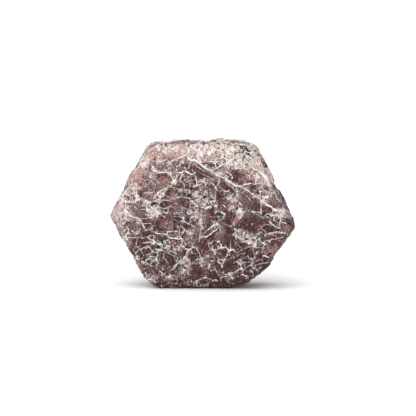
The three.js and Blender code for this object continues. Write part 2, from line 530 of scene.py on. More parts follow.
COARSE_GRAIN, COARSE_SEED = 6.5, 11
FINE_GRAIN, FINE_SEED = 3.0, 47
COARSE_STRAY = (3.0, 0.55, 21)  # size, amount and seed of the bends in the cracks
FINE_STRAY = (1.4, 0.35, 31)
coarse = broken_grains(stray(turned_skin, *COARSE_STRAY), COARSE_GRAIN, COARSE_SEED)
fine = broken_grains(stray(turned_skin, *FINE_STRAY), FINE_GRAIN, FINE_SEED)
coarse_way, coarse_reach, _, coarse_grain, coarse_wall = coarse
fine_way, fine_reach, _, fine_grain, fine_wall = fine
print("mean distance to a coarse crack", round(float(coarse_reach.mean()), 2), "mm")

# %% [markdown]
# ## How the camera sees each part of the skin
# Every drawn mark lies in the camera's view, in columns and rows of its picture.
# Three numbers say how far that holds for a vertex. Its facing is one where the skin looks
# straight at the camera and nought at the outline. Where a face is grazed by the view, a
# drawn mark would stretch into a bar along it, so part of each mark is lost there in holes.
# The share that is seen fades to nought behind the outline, where noise takes over.

# %% Picture places, facing and the seen share
VEIN_STRAY = 0.3  # pixels by which drawn lines waver
VEIN_STRAY_SIZE, VEIN_STRAY_SEEDS = 1.6, (61, 62)
GRAZING = (0.12, 0.26)  # facing from which a mark starts to stretch
HOLE_SIZE, HOLE_SEED = 1.5, 97
HOLE_EDGE = (-0.2, 0.1)
SEEN_EDGE = (-0.12, 0.1)
SIDE_DOUBT = 0.08  # the left and right sides count as a little farther round

picture = picture_place(skin + to_frame)
wander = [cloud(turned_skin, VEIN_STRAY_SIZE, seed) for seed in VEIN_STRAY_SEEDS]
drawn_on = picture + VEIN_STRAY * np.stack(wander, axis=-1)
broad_facing = broad_outward @ towards_viewer
grazing = 1 - smooth_step(*GRAZING, broad_facing)
holes = 1 - smooth_step(*HOLE_EDGE, cloud(turned_skin, HOLE_SIZE, HOLE_SEED))
kept_share = 1 - grazing * holes
seen = smooth_step(*SEEN_EDGE, broad_facing - SIDE_DOUBT * np.abs(broad_outward[:, 0]))
print("share of the skin that the camera sees", round(float(seen.mean()), 2))

# %% [markdown]
# ## Drawn veins
# Cracks in this stone healed with white and cream feldspar and mica. The ones that make it
# recognisable are lines of points (column, row). They come in four strengths, from the wide
# vein that crosses the stone to hair-thin ones. Each list is a kind of its own, because a
# crack keeps its width over its whole length far more often than it changes it.

# %% Wide veins
WIDE_VEINS = [
    [(190, 159.5), (194, 159), (197, 161.5), (200, 164), (203, 166), (206, 168), (210, 170), (214, 173),
     (218, 176), (221, 176.5), (225, 178.5), (229, 181), (233, 184), (237, 185.5), (240.5, 186),
     (243.5, 188.3), (247, 189.5), (249, 191.5), (252, 193.5), (254.5, 195), (257, 197), (259.5, 199),
     (261.5, 200.5), (263.5, 202), (266, 203), (268.5, 205), (271, 206.5), (273, 208.5), (275.5, 210),
     (278.5, 211), (281.5, 210.5)],
    [(251, 166), (255, 169), (259, 171), (262, 174), (265, 177), (267, 181), (269, 185)],
    [(211, 250), (212.5, 249), (215.5, 249.3), (217, 248.8), (219, 247.5), (221, 246.8), (223, 247.5),
     (225.5, 247), (227.5, 249), (229.5, 250), (231.5, 249.3), (233.5, 249)],
    [(152.5, 240.3), (155, 241), (157.5, 243.5), (159.5, 244.3), (161.5, 244)],
    [(171.5, 269.5), (173, 268), (174.5, 265.5), (176.5, 263.5), (178.5, 262), (180.5, 260),
     (182.5, 258.8), (184.5, 256)],
    [(234.5, 236.5), (235.5, 235), (237.5, 236.5), (239.5, 238)],
]
print("wide veins:", len(WIDE_VEINS))

# %% Strong veins
STRONG_VEINS = [
    [(150.5, 205), (152.5, 208.5), (155, 213)],
    [(152, 170), (155, 170), (157, 171.5), (160, 172), (165, 171.5), (170, 172)],
    [(157, 161.5), (160, 160.5), (163, 159.8), (166, 158.5)],
    [(168, 163), (170, 161), (173, 160), (177, 158.5), (180, 157), (183, 155), (185, 154.5), (188, 157),
     (189, 159.5)],
    [(178, 172), (182, 171.5), (184, 170), (186, 169.5)],
    [(186, 171.5), (188, 172.5), (190, 173.5), (193, 173.5), (195, 172)],
    [(171, 185), (168, 186), (166.5, 186.5), (164.5, 188), (162, 189.3), (159, 191), (157, 192),
     (156, 193.5)],
    [(202, 181), (200.5, 183.5), (197, 184.5), (193, 186)],
    [(243, 184.5), (247, 183.5), (250, 183)],
    [(208, 169), (213, 169.5), (216, 168), (218, 166), (222, 164)],
    [(124, 209.5), (126.7, 211.5), (128.5, 214), (130, 216), (133, 216.8), (136.5, 217.5), (139, 218.5),
     (140.7, 221.5), (142, 224.5), (144.5, 228.5)],
    [(180, 220.5), (182.5, 220.3), (185, 221.5), (187, 223), (188.5, 224)],
    [(176, 231.3), (174, 231), (171, 231), (167, 231), (166.5, 233), (164.5, 234), (162, 234),
     (157.5, 233.5), (155, 233)],
    [(183.5, 230), (185.5, 230), (187, 231.5), (189, 233.5), (190, 234.5), (190.5, 231)],
    [(191.8, 200.5), (192.5, 202), (194.5, 203), (196, 205), (197, 206)],
    [(199, 198.5), (201.5, 196.5), (203.5, 195), (204.5, 193.5)],
    [(200.5, 207), (203, 206.5), (204.5, 208.5), (206.5, 208), (209, 206), (209.8, 205.3)],
    [(224, 191), (227.5, 190.8), (228.5, 189.8)],
    [(227, 197), (227.5, 199), (229.5, 197.5), (231.5, 196.5)],
    [(231.5, 201.5), (232.5, 200), (234.5, 199.5), (236, 199.5)],
    [(239, 202), (240.5, 204), (241, 204.5)],
    [(222, 204), (224, 205.5), (224.8, 206.8)],
    [(239, 208), (240.5, 210), (239.5, 213.5)],
    [(243, 211.5), (242, 213.5), (241, 216.5), (240.5, 218)],
    [(201, 237), (202.5, 236.5), (205.5, 236.3), (207, 235.8), (208.5, 234.5), (210, 233.5), (212, 231.5),
     (214.5, 230), (216.5, 229)],
    [(207, 229.5), (208.5, 228), (210, 227), (212.5, 225.5), (215, 224), (218, 223)],
    [(221, 211.5), (223, 213), (225, 213.5)],
    [(234, 228.5), (236.5, 230), (238.5, 231)],
    [(266.5, 216.5), (269.5, 215), (272.5, 214.5), (275.5, 214), (278, 215.5), (280, 217), (280.5, 218.5),
     (279.5, 223), (279, 225)],
    [(268.5, 220.5), (270.5, 223), (273, 224.5), (275.5, 226.5), (277.5, 227.5), (280.5, 227)],
    [(265, 235.8), (266, 234), (268.5, 233), (272.5, 232.5), (275.5, 232), (276.5, 231), (279.5, 232),
     (283.5, 232.5), (285.5, 233)],
    [(123, 236.5), (124.5, 237.3), (126, 238.3), (127, 239.5)],
    [(142.5, 242.5), (145.5, 241.8), (148.5, 242), (152, 242.5), (154, 243)],
    [(157, 251), (159.5, 250), (162, 250)],
    [(154.5, 259.5), (157, 261), (158, 263), (156.5, 264.5)],
    [(143, 262), (145.5, 262.5), (147.5, 263.5), (149.5, 265), (150.5, 265.5)],
    [(147.5, 279), (149.5, 278.8), (152, 279), (154, 278)],
    [(158.5, 271.3), (160, 271), (162, 273), (164, 274)],
    [(167, 235.3), (170, 238), (175, 238), (178, 239), (180.5, 238), (182.5, 239.5)],
    [(164.5, 248), (165.5, 246.5), (167, 245), (168.5, 246)],
    [(184.5, 249), (186.5, 249), (188.5, 249.5), (190.5, 248.5)],
    [(184.5, 256), (186, 257.5), (187, 259.5), (188, 261), (189, 262.5)],
    [(195.5, 260), (197, 259), (199.5, 258.8), (202, 257)],
    [(191.5, 264), (193.5, 262.5), (195.5, 263.5)],
    [(195.5, 281), (197.5, 280.3), (199.5, 279.5), (201.5, 278), (203.5, 277), (205, 276.8)],
    [(215, 269), (216.5, 271.5), (218, 273.5), (219.5, 274.5)],
    [(229, 274), (231.5, 273), (234, 272.5), (236.5, 271), (238.5, 269.5), (240.5, 268.5)],
    [(237, 261.5), (239, 263), (240.5, 264.3)],
    [(241.5, 274.5), (243.5, 275), (245, 275.8), (247, 276)],
    [(247.5, 239.8), (249.5, 241.5), (252, 243)],
    [(254.5, 242.5), (255.3, 244.5), (254, 246.5)],
    [(259.5, 241), (261.5, 242.5), (264, 243.5), (266, 244.8)],
    [(262.5, 255.5), (264.5, 255.5), (266.5, 256.5), (268.5, 257.5)],
    [(256, 253.5), (256.5, 251.5), (258, 251.8)],
    [(250, 270), (251, 270.5), (252, 273)],
    [(227.5, 254.5), (226, 256), (224.5, 259), (223, 260), (220.5, 259.5), (218, 259.5), (217.5, 261),
     (218.5, 263)],
]
print("strong veins:", len(STRONG_VEINS))

# %% Plain veins
PLAIN_VEINS = [
    [(140, 166), (144, 166.5), (147, 167)],
    [(151, 165), (153, 167), (152, 169)],
    [(176, 166), (180, 163), (184, 161.5)],
    [(189, 163), (188, 166), (187.5, 168)],
    [(182, 171.5), (181, 175), (180, 178), (179.5, 180.5)],
    [(169.5, 172), (170, 174), (172, 178), (173, 180)],
    [(195, 176), (196, 180), (196, 184)],
    [(201, 180.5), (204, 180.5)],
    [(207, 161.5), (210, 160.5), (213, 161), (215, 163), (215, 166)],
    [(220, 161), (222, 164), (225, 163.5), (227, 162)],
    [(216, 172), (220, 172), (223, 174), (226, 177)],
    [(226, 171), (228, 172.5), (231, 174), (232, 178)],
    [(219, 181), (217, 184), (215.5, 187), (216, 190)],
    [(211, 182), (214, 185), (216, 188)],
    [(271, 177), (274, 181), (277, 186)],
    [(125, 200), (125.5, 207), (125.5, 215.5), (124.7, 222)],
    [(125.5, 226.5), (127.3, 228), (128.3, 231), (127, 233.5), (125.5, 235)],
    [(122.5, 230.5), (125, 228.5)],
    [(133.5, 195.5), (136.5, 196), (138, 198), (139.5, 199)],
    [(131, 202), (127.5, 200.5), (125, 200)],
    [(144.5, 199.8), (147.5, 201), (149.5, 202)],
    [(155.5, 205.5), (158.5, 208), (159.5, 210.5), (159, 213.5), (156.5, 214.5)],
    [(141, 208.8), (144.5, 209), (147, 208), (149.5, 209.5), (152, 212), (155, 214)],
    [(173, 189), (176.5, 188.5), (181.5, 189), (185.5, 189.5), (189, 189.5), (189.8, 192.5)],
    [(155, 200), (157.5, 202), (160, 200.5), (163.5, 199.5), (167, 199.5)],
    [(162.8, 211.5), (164.5, 211.5), (166.3, 213), (167.5, 211)],
    [(176.5, 225), (178, 228), (179, 230.5), (178.5, 233.5), (176.5, 236.5)],
    [(180.5, 232), (182.5, 232), (183.3, 232.8)],
    [(186.5, 212), (188.5, 210.5), (190.3, 209.8), (191.3, 211), (190, 213), (188, 214), (186.5, 213)],
    [(189.5, 219), (191, 217.5), (192.5, 216), (194, 215.8)],
    [(198.5, 222), (199.8, 223.5), (200.5, 219.5), (201, 218)],
    [(207.5, 198), (206.5, 200.5), (205, 204), (204, 205.5)],
    [(214.5, 195), (214.3, 198)],
    [(214, 185.5), (215.3, 188), (215.5, 189.5)],
    [(214, 211), (215.5, 213)],
    [(225, 213.8), (223.5, 216), (222, 218.5)],
    [(260, 191), (260.3, 198.5), (260.5, 206), (260.8, 211.5), (260.5, 214.5)],
    [(250.5, 210.8), (254.5, 211), (258, 211.8), (260, 212.3)],
    [(281.5, 208.5), (282.5, 208), (284, 209.5)],
    [(284.5, 210.5), (288, 210.5), (290, 211.5)],
    [(281.5, 222), (283, 221.5), (284.5, 223), (286, 223)],
    [(257, 233.5), (259.5, 232), (261.5, 231.5)],
    [(272.5, 191), (274, 193), (276.5, 198), (279.5, 200.5), (282, 202.5)],
    [(139.5, 249.5), (141.5, 248), (143.5, 247), (144.5, 248), (146, 248), (147.5, 246), (149.5, 247.5),
     (151, 249.5), (152.5, 251.5), (153.5, 252.5)],
    [(135, 252.5), (136.8, 251.3), (137.5, 250.5)],
    [(132.5, 255), (134, 257.5), (135, 260)],
    [(148.5, 256), (151, 255.5), (153, 256)],
    [(145.5, 260), (147.5, 258.5), (149, 258), (152, 258.5), (154.5, 259.5)],
    [(156, 251.5), (157, 253), (156.5, 255), (156, 256.5)],
    [(154, 248.7), (157, 249), (160, 248.7)],
    [(143.5, 273), (144.5, 273), (146, 275.5), (146.5, 276.5)],
    [(149, 239), (147.5, 237), (149, 235.5), (152, 235), (154, 236.5), (153, 239), (150.5, 239.5)],
    [(167, 248.5), (169, 249.3), (171.5, 250.5), (173.5, 251.5), (175, 253)],
    [(176.5, 245.5), (178.5, 247.5), (179.5, 249.5)],
    [(180, 245.5), (180.5, 243), (181.5, 241), (183, 240)],
    [(176.5, 256.5), (177, 259), (176, 261)],
    [(185.5, 254), (186.5, 252), (188.5, 250), (190.5, 248)],
    [(196, 248.5), (197, 250.5), (198.5, 252), (199.3, 253.5), (199.8, 256)],
    [(179.5, 263.5), (182, 262), (183.5, 261), (185, 260)],
    [(195.5, 281), (196, 283.5)],
    [(207, 241), (208, 242.3), (210, 243.5), (211.5, 241.5), (212.5, 240)],
    [(221, 247), (221, 245)],
    [(211.5, 248.5), (212, 246), (213, 245.5)],
    [(229.5, 250), (229, 252)],
    [(223.5, 261), (222, 263.5)],
    [(239.5, 260), (241, 261), (242, 263.5)],
    [(229, 274), (230.5, 276), (232, 278)],
    [(221, 277.5), (223, 276), (226.5, 275.8)],
    [(211, 281.5), (212.5, 280), (215, 279), (217, 280.5)],
    [(199.5, 279), (202.5, 278), (205, 276.8), (206.5, 278.5)],
    [(267, 239.8), (269, 241.5), (270, 242.5)],
    [(249.5, 258.8), (251.5, 259.5), (253, 260)],
    [(260.5, 264), (262.5, 263), (265.5, 262.5), (267.5, 261.5)],
    [(259.5, 267.5), (261.5, 266.5)],
    [(253.5, 276), (252.5, 278)],
]
print("plain veins:", len(PLAIN_VEINS))

# %% Thin veins
THIN_VEINS = [
    [(233, 263), (238, 260), (244, 257.5), (248, 256)],
    [(236, 255.5), (240, 254), (245, 253)],
    [(254, 262), (258, 260), (262, 259)],
    [(251, 265.5), (256, 265), (260, 263)],
    [(245, 262), (251, 261.5), (252, 266)],
    [(238, 264), (241, 266), (242, 269)],
    [(113, 210), (113.5, 214), (116, 218.5)],
    [(118, 211), (119, 215), (121, 219)],
    [(119.5, 223), (122, 222), (124.5, 223)],
    [(121, 199.5), (126, 201.5), (129, 202.5)],
    [(182, 182), (184, 184), (184, 187)],
    [(190, 183), (189, 186)],
    [(161, 215), (163.5, 215.5), (165, 217.5)],
    [(224.5, 223.5), (227.5, 225), (230.5, 226.5)],
    [(230, 206.5), (229.5, 208.5), (228, 210.5)],
    [(137.5, 248), (138.5, 246), (139.5, 244.5)],
    [(271, 238), (272.5, 239.5)],
    [(275, 244), (276.5, 246.5), (277.5, 247.5)],
    [(206, 256.5), (208.5, 255.5)],
    [(240.5, 270), (242.5, 271)],
]
# Half width in millimetres and how white the middle is, from 0 to 1.
VEIN_KINDS = [
    (0.23, 1.0, WIDE_VEINS),
    (0.17, 1.0, STRONG_VEINS),
    (0.13, 0.9, PLAIN_VEINS),
    (0.11, 0.65, THIN_VEINS),
]
print("thin veins:", len(THIN_VEINS))

# %% [markdown]
# ## Spots and dark minerals
# Small feldspar grains show as white spots beside the veins. Black and dark green mica and
# amphibole fill short gashes and pits. An oblong spot is the same thing as a very short
# line, so spots are listed by their middle, half length, half width and turn, and later
# become lines too.

# %% White spots
SPOT_WHITENESS = 0.85
# Column, row, half length and half width in pixels, and turn in degrees from the rows.
WHITE_SPOTS = [
    (116.2, 217.3, 1, 1, 0), (120.5, 212.3, 1.5, 1.2, 0), (137.7, 186.8, 1.5, 1, 0),
    (137, 222.5, 1.2, 1, 0), (158.5, 196, 1.8, 1, 0), (163.3, 194.3, 1.5, 0.8, 90),
    (183, 217.3, 0.9, 0.9, 0), (195, 211.5, 2, 1.5, 0), (202.5, 203.5, 1.2, 1.2, 0),
    (213.3, 201, 2, 1.5, 90), (236.5, 191, 1.2, 1, 0), (236.8, 194.5, 1.5, 0.8, 90),
    (238, 211.5, 3, 2.3, 90), (252, 193.3, 2, 1, 0), (260, 191, 1.5, 1.2, 0), (252, 223.5, 1, 1, 0),
    (222, 160, 1, 1, 0), (226, 163, 1, 1, 0), (157.5, 211.5, 2.4, 1.8, 0), (195.5, 193.5, 3.6, 2.4, 90),
    (266, 197, 2.4, 1.8, 0), (283, 212, 2, 1.5, 90), (173.5, 181.5, 3.4, 1.1, -45), (127, 233, 1.5, 1, 0),
    (136.3, 256.8, 2, 1.3, 90), (142, 261, 1, 1, 0), (156, 258, 1.2, 1.2, 0), (178.8, 236, 1, 1, 0),
    (168.8, 246, 1.2, 1.2, 0), (175.5, 253, 1.2, 1.2, 0), (192, 246.5, 1.5, 0.9, 90),
    (191.3, 251.5, 0.9, 0.9, 0), (196, 247.8, 0.9, 0.9, 0), (166, 261.5, 0.8, 0.8, 0),
    (187.5, 272.3, 1.2, 1, 90), (169.5, 275.5, 2.4, 1.7, -20), (178.5, 273, 1.2, 1, 0),
    (191, 281.5, 1, 1, 0), (202, 260.5, 3.4, 1.6, 80), (218, 241.3, 2, 1.3, 0),
    (214.5, 252.5, 2, 1.1, 90), (208.5, 266, 3, 1.3, 100), (211, 261, 1.5, 1.1, 0),
    (221.5, 266, 1.5, 0.8, 90), (232, 278.3, 1.3, 1.1, 0), (242, 239, 1.4, 1, 0), (259, 238, 1.2, 1.2, 0),
    (264, 255.5, 1.8, 1, 0), (261.5, 252, 1, 0.7, 0), (252, 263, 1.2, 1, 90), (253.5, 268, 2, 1, 0),
    (246.2, 149.4, 1.8, 1, 45), (241.6, 146.4, 1, 0.8, 0), (257, 270, 1, 1, 0), (246, 276, 1.6, 1, 20),
    (247.5, 256, 1, 0.8, 0), (248, 243, 1, 1, 0),
]
print("white spots:", len(WHITE_SPOTS))

# %% Dark streaks, hairs and spots
DARK_STREAKS = [
    [(236, 144), (237.6, 145), (238.8, 146.2), (240.2, 147)],
    [(240.3, 144.3), (242.6, 144.6)],
    [(242.2, 145.8), (242.2, 147.3), (243.6, 148.8), (243.3, 150.5)],
    [(244.6, 145.2), (246.2, 147), (247.6, 148.5), (249, 149.9), (250.2, 151)],
    [(246.4, 151.8), (248.4, 152.8), (249.3, 154.2)],
    [(243.3, 156.2), (244.9, 157)],
    [(226, 144), (229, 143.8)],
    [(246, 250), (248, 249), (250.5, 247.5)],
    [(267.5, 255), (269, 253.5), (271, 253)],
    [(189, 188.3), (192, 188.5), (195.5, 188.5)],
]
DARK_HAIRS = [
    [(150, 146), (155, 145)],
    [(160, 144), (165, 144.5)],
    [(170, 143.8), (177, 143.5)],
    [(179, 141), (182, 142), (186, 140.5), (190, 139.5), (194, 141.5), (198, 141.5)],
    [(200, 142), (205, 142)],
    [(205, 139.5), (210, 140.5), (215, 141), (219, 142.5)],
    [(249.3, 154.2), (250.6, 155.3), (251.8, 156.5)],
    [(237.2, 152), (240, 151.5), (242.8, 151.4)],
    [(254.2, 149.9), (256.3, 150.5)],
    [(244.6, 143.9), (245.9, 145.3)],
    [(232.5, 141.5), (235.5, 143.5), (238.3, 145.5)],
    [(257, 148), (259.5, 151.5), (261, 155)],
    [(247.5, 207.5), (249.5, 210), (250, 212), (249, 214.5)],
    [(227, 246.5), (229.5, 249)],
]
# Half width in millimetres and how dark the middle is, from 0 to 1.
DARK_KINDS = [
    (0.27, 1.0, DARK_STREAKS),
    (0.18, 0.7, DARK_HAIRS),
]
SPOT_DARKNESS = 1.0
DARK_SPOTS = [
    (248.2, 152.8, 2.0, 1.4, 35), (235, 153.3, 1.5, 1, 90), (224, 156, 1.3, 1, 0),
    (247.5, 141.6, 1.2, 0.8, 20), (254.6, 156.7, 1, 1, 0), (233, 143.5, 1, 1, 0),
    (247.8, 142.3, 1.5, 0.9, 0), (191, 141.5, 3, 1.1, 0), (166, 145, 1.5, 0.6, 0), (188, 144, 1, 1, 0),
    (203, 143.5, 1, 1, 0), (264, 162.6, 2.2, 1.7, 60), (265.8, 165.6, 2.8, 2.1, 62),
    (153, 203.5, 3, 1.7, -30), (155, 206.5, 1.2, 1.2, 0), (148, 195.8, 1.5, 0.8, 0),
    (156.7, 196.5, 1.5, 1, 0), (148.5, 234, 3, 1.2, 0), (125, 228, 0.8, 0.8, 0),
    (122, 209.8, 0.8, 0.8, 0), (197, 188, 0.8, 0.8, 0), (165.3, 210, 1.5, 1, 0),
    (177.5, 218, 2.2, 1.5, 0), (180.5, 218.5, 1.5, 1, 0), (204.3, 196.5, 2.4, 1.9, 0),
    (211.8, 202, 1, 1, 0), (236.5, 208.5, 1.8, 1, 90), (217.8, 229.5, 1.2, 1, 90),
    (217.5, 207, 1.5, 0.9, 0), (218.5, 213.5, 2.5, 1.1, 0), (215.5, 218.5, 1.5, 1.1, 90),
    (263.5, 213.5, 2, 1.1, 0), (268, 215.3, 1.8, 1, 0), (254, 231, 3, 1, 90), (289, 222.5, 2.5, 1.4, 0),
    (187.5, 247, 2.4, 1.2, 0), (161.5, 241.5, 2.5, 1.4, 60), (154.8, 254.5, 2, 1.4, 0),
    (184, 268, 1.7, 1.4, 45), (163.2, 271.3, 1.5, 1, 20), (158.5, 279, 1.5, 1.2, 0), (246, 239, 2, 1, 0),
    (257, 241.5, 1.2, 0.8, 0), (257.3, 245.5, 1.4, 1.3, 0), (256.5, 238, 2, 1.1, 90),
    (218.5, 243.5, 1.5, 1, 0), (286, 236.5, 1.5, 0.9, 60), (151.3, 236.3, 1.3, 0.9, 0),
]
print("dark marks:", len(DARK_STREAKS) + len(DARK_HAIRS) + len(DARK_SPOTS))

# %% [markdown]
# ## Clean grains
# Some grains stayed whole: calm maroon, with few cracks in them and a broken white rim. Each
# is an ellipse here. Its rim is a closed line of a few corners at uneven steps, of which
# only some stretches are healed white, because a complete ring would look drawn.

# %% Clean grains
# Column, row, half length and half width in pixels, and turn in degrees from the rows.
CLEAN_PATCHES = [
    (139, 207.5, 6, 2.5, 25), (146.5, 226.5, 6, 5, 0), (153.5, 228.5, 4, 4, 0), (128, 223, 4, 3, 0),
    (132, 197.5, 2.5, 3, 0), (138.5, 191.5, 2, 3, 0), (165.3, 202.5, 3, 2.5, 0), (180, 194, 7, 4, 0),
    (177, 209, 7, 4, 0), (252, 187, 3, 2.5, 0), (229, 220.5, 6, 6, 0), (169, 256.5, 6, 7.5, 0),
    (193, 255, 6.5, 4, 0), (222, 252, 5, 2.5, 0), (206, 247, 6, 4, 0), (241, 244.5, 7, 3, 0),
    (152.5, 263.5, 3, 2.5, 0), (252, 270, 4, 1.5, 0), (145, 251.5, 5.5, 3, 0), (151, 246, 6, 1.6, 0),
    (269, 237.5, 8, 3, 0), (183, 164, 5, 3.5, 0), (198, 170, 6, 4.5, 25), (211, 176, 8, 3.5, 38),
    (211, 165, 4, 2.5, 0), (224, 168, 5, 3, 0), (238, 175, 7, 7, 0), (226, 186, 9, 4.5, 40),
    (219, 196, 4, 8, -8), (172, 192, 9, 6, 0), (184, 194, 6, 6, 0), (186, 203, 6, 6, 0),
    (164, 203, 6, 5, 0), (137, 211, 6, 6, 0), (129, 223, 5, 6, 0), (146, 224, 8, 7, 0),
    (159, 222, 6, 7, 0), (175, 219, 6, 4, 0), (185, 225, 4, 4, 0), (207, 214, 5, 10, 0),
    (229, 219, 6, 8, -20), (225, 237, 6, 8, 0), (235, 247, 8, 5, 45), (247, 252, 10, 5, 15),
    (252, 222, 11, 9, 0), (246, 201, 8, 5, 30), (256, 207, 7, 5, 30), (268, 209, 6, 3.5, 10),
    (275, 203, 8, 5, 35), (268, 228, 8, 4, 0), (289, 223, 6, 8, 0), (274, 242, 11, 6, -20),
    (204, 246, 6, 6, 0), (197, 236, 3, 8, 10), (192, 256, 5, 4, 0), (222, 252.5, 6, 3.5, 0),
    (145, 251, 5, 5, 0), (168, 258, 6.5, 8, 0), (144, 266, 4, 3, 0), (154, 263, 5, 4, 0),
    (233, 264, 8, 6, 0), (197, 272, 7, 6, 0), (214, 278, 9, 4, 0), (217, 265, 5, 3, 0),
    (238, 281, 12, 4, 0), (131, 241, 6, 8, -20), (140, 242, 5, 6, 0), (248, 263, 5, 5, 0),
    (265, 257, 9, 6, -35), (172, 281, 9, 3, 0), (207, 236, 8, 4, -15), (161, 179, 6, 5, 0),
    (147, 195, 6, 4, 0),
]
GRAIN_SPREAD = 1.12
print("clean grains:", len(CLEAN_PATCHES))

# %% Rims of the clean grains
GRAIN_CORNERS = 5
CORNER_SPREAD = 0.8
GRAIN_SIZE, GRAIN_SIZE_RANGE = 0.88, 0.3  # of the ellipse, least and how much more
GRAIN_RIM_WIDTH = 0.10
GRAIN_RIM_SHARE = 0.36
GRAIN_RIM_WHITENESS = 0.8
CORNER_SEED, RIM_SEED = 17, 19
PIXEL_STEPS = 8  # steps in a pixel to which places are rounded for a hash


def grain_outline(column, row, long, wide, turn):
    """A closed line of a few corners around a grain: an ellipse's points at uneven steps,
    each moved in or out by a random share."""
    place = [round(PIXEL_STEPS * column), round(PIXEL_STEPS * row)]
    cells = np.array([[*place, corner] for corner in range(2 * GRAIN_CORNERS)])
    chance = cell_random(cells, CORNER_SEED).reshape(2, GRAIN_CORNERS)
    step = np.arange(GRAIN_CORNERS) + CORNER_SPREAD * chance[0]
    around = 2 * np.pi * step / GRAIN_CORNERS
    size = GRAIN_SIZE + GRAIN_SIZE_RANGE * chance[1]
    turn = math.radians(turn)
    along, across = long * size * np.cos(around), wide * size * np.sin(around)
    points = np.stack([column + along * math.cos(turn) - across * math.sin(turn),
                       row + along * math.sin(turn) + across * math.cos(turn)], axis=-1)
    return np.concatenate([points, points[:1]])


def grain_rims(grains):
    """Each grain's outline as separate straight cracks, some whiter than others."""
    rims = []
    for grain in grains:
        outline = grain_outline(*grain)
        for start, end in zip(outline[:-1], outline[1:]):
            cell = np.round(PIXEL_STEPS * np.array([[*start, end[0]]]))
            chance = cell_random(cell, RIM_SEED)[0]
            if chance < GRAIN_RIM_SHARE:
                rims.append((GRAIN_RIM_WIDTH, GRAIN_RIM_WHITENESS - chance, [start, end]))
    return rims


print("healed stretches of rim:", len(grain_rims(CLEAN_PATCHES)))

# %% [markdown]
# ## Arrows to the nearest line
# A vein painted on to the vertices would look stepped, because it is no wider than the step
# between them. So each vertex keeps the way to its nearest vein as an arrow: the arrow
# shrinks evenly to nothing and grows again on the other side, and the material can read a
# sharp line out of it between the vertices.

# %% The way to a line
SHORTEST = 1e-9  # guards a stretch of no length


def way_to_line(places, line):
    """Arrow from each place to the nearest point of a line, one straight stretch after
    another: each place is dropped square on to the stretch and held between its ends."""
    way = np.zeros_like(places)
    reach = np.full(len(places), np.inf)
    line = np.array(line, dtype=float)
    for start, end in zip(line[:-1], line[1:]):
        along = end - start
        share = np.clip((places - start) @ along / max(along @ along, SHORTEST), 0, 1)
        arrow = start + share[:, None] * along - places
        length = np.linalg.norm(arrow, axis=1)
        closer = length < reach
        reach = np.where(closer, length, reach)
        way[closer] = arrow[closer]
    return way, reach


print("arrow to a line one step below:", way_to_line(np.zeros((1, 2)), [(-1, 1), (1, 1)])[0][0])

# %% Lines and spots together
SPOT_SHRINK = 0.8  # the ragged edge adds the rest


def spot_line(column, row, long, wide, turn):
    """An oblong spot as a short line along its middle, and the half width around it in
    millimetres."""
    turn = math.radians(turn)
    reach = (long - wide) * np.array([math.cos(turn), math.sin(turn)])
    middle = np.array([column, row])
    return SPOT_SHRINK * wide * PIXEL, [middle - reach, middle + reach]


def all_lines(kinds, spots, spot_strength):
    """Lines and spots in one list, each with its half width and strength."""
    lines = [(width, strength, line) for width, strength, group in kinds for line in group]
    for spot in spots:
        width, line = spot_line(*spot)
        lines.append((width, spot_strength, line))
    return lines


white_lines = all_lines(VEIN_KINDS, WHITE_SPOTS, SPOT_WHITENESS) + grain_rims(CLEAN_PATCHES)
dark_lines = all_lines(DARK_KINDS, DARK_SPOTS, SPOT_DARKNESS)
print("lines to draw:", len(white_lines), "white and", len(dark_lines), "dark")

# %% The line nearest to every vertex
WHITE_FACING, DARK_FACING = 0.16, -0.05  # least facing that takes a line
FAR_AWAY = 9.0  # pixels around a line within which it is looked for


def drawable(least_facing):
    """True where the skin faces the camera enough; the far side of the left faces never
    does."""
    return (broad_facing > least_facing) & ((broad_facing > 0) | (broad_outward[:, 0] > 0))


def nearest_line(lines, least_facing):
    """For every vertex that the camera sees, the arrow to the line whose edge is nearest, in
    millimetres, the arrow's length, and that line's half width and strength."""
    way = np.zeros_like(skin)
    reach = np.full(len(skin), FAR_AWAY)
    half_width = np.full(len(skin), min(line[0] for line in lines))
    line_strength = np.zeros(len(skin))
    to_edge = np.full(len(skin), FAR_AWAY)
    for width, strength, line in lines:
        low, high = np.min(line, axis=0) - FAR_AWAY, np.max(line, axis=0) + FAR_AWAY
        near = np.all((drawn_on > low) & (drawn_on < high), axis=1) & drawable(least_facing)
        near = np.flatnonzero(near)
        arrow, distance = way_to_line(drawn_on[near], line)
        closer = distance * PIXEL - width < to_edge[near]
        near, arrow, distance = near[closer], arrow[closer], distance[closer] * PIXEL
        way[near, :2] = arrow * PIXEL
        reach[near] = distance
        to_edge[near] = distance - width
        half_width[near] = width
        line_strength[near] = strength
    return way, reach, half_width, line_strength


vein_way, vein_reach, vein_width, vein_strength = nearest_line(white_lines, WHITE_FACING)
dark_way, dark_reach, dark_width, dark_strength = nearest_line(dark_lines, DARK_FACING)
dark_strength *= kept_share
print("vertices within a millimetre of a drawn vein:", int((vein_reach < 1).sum()))
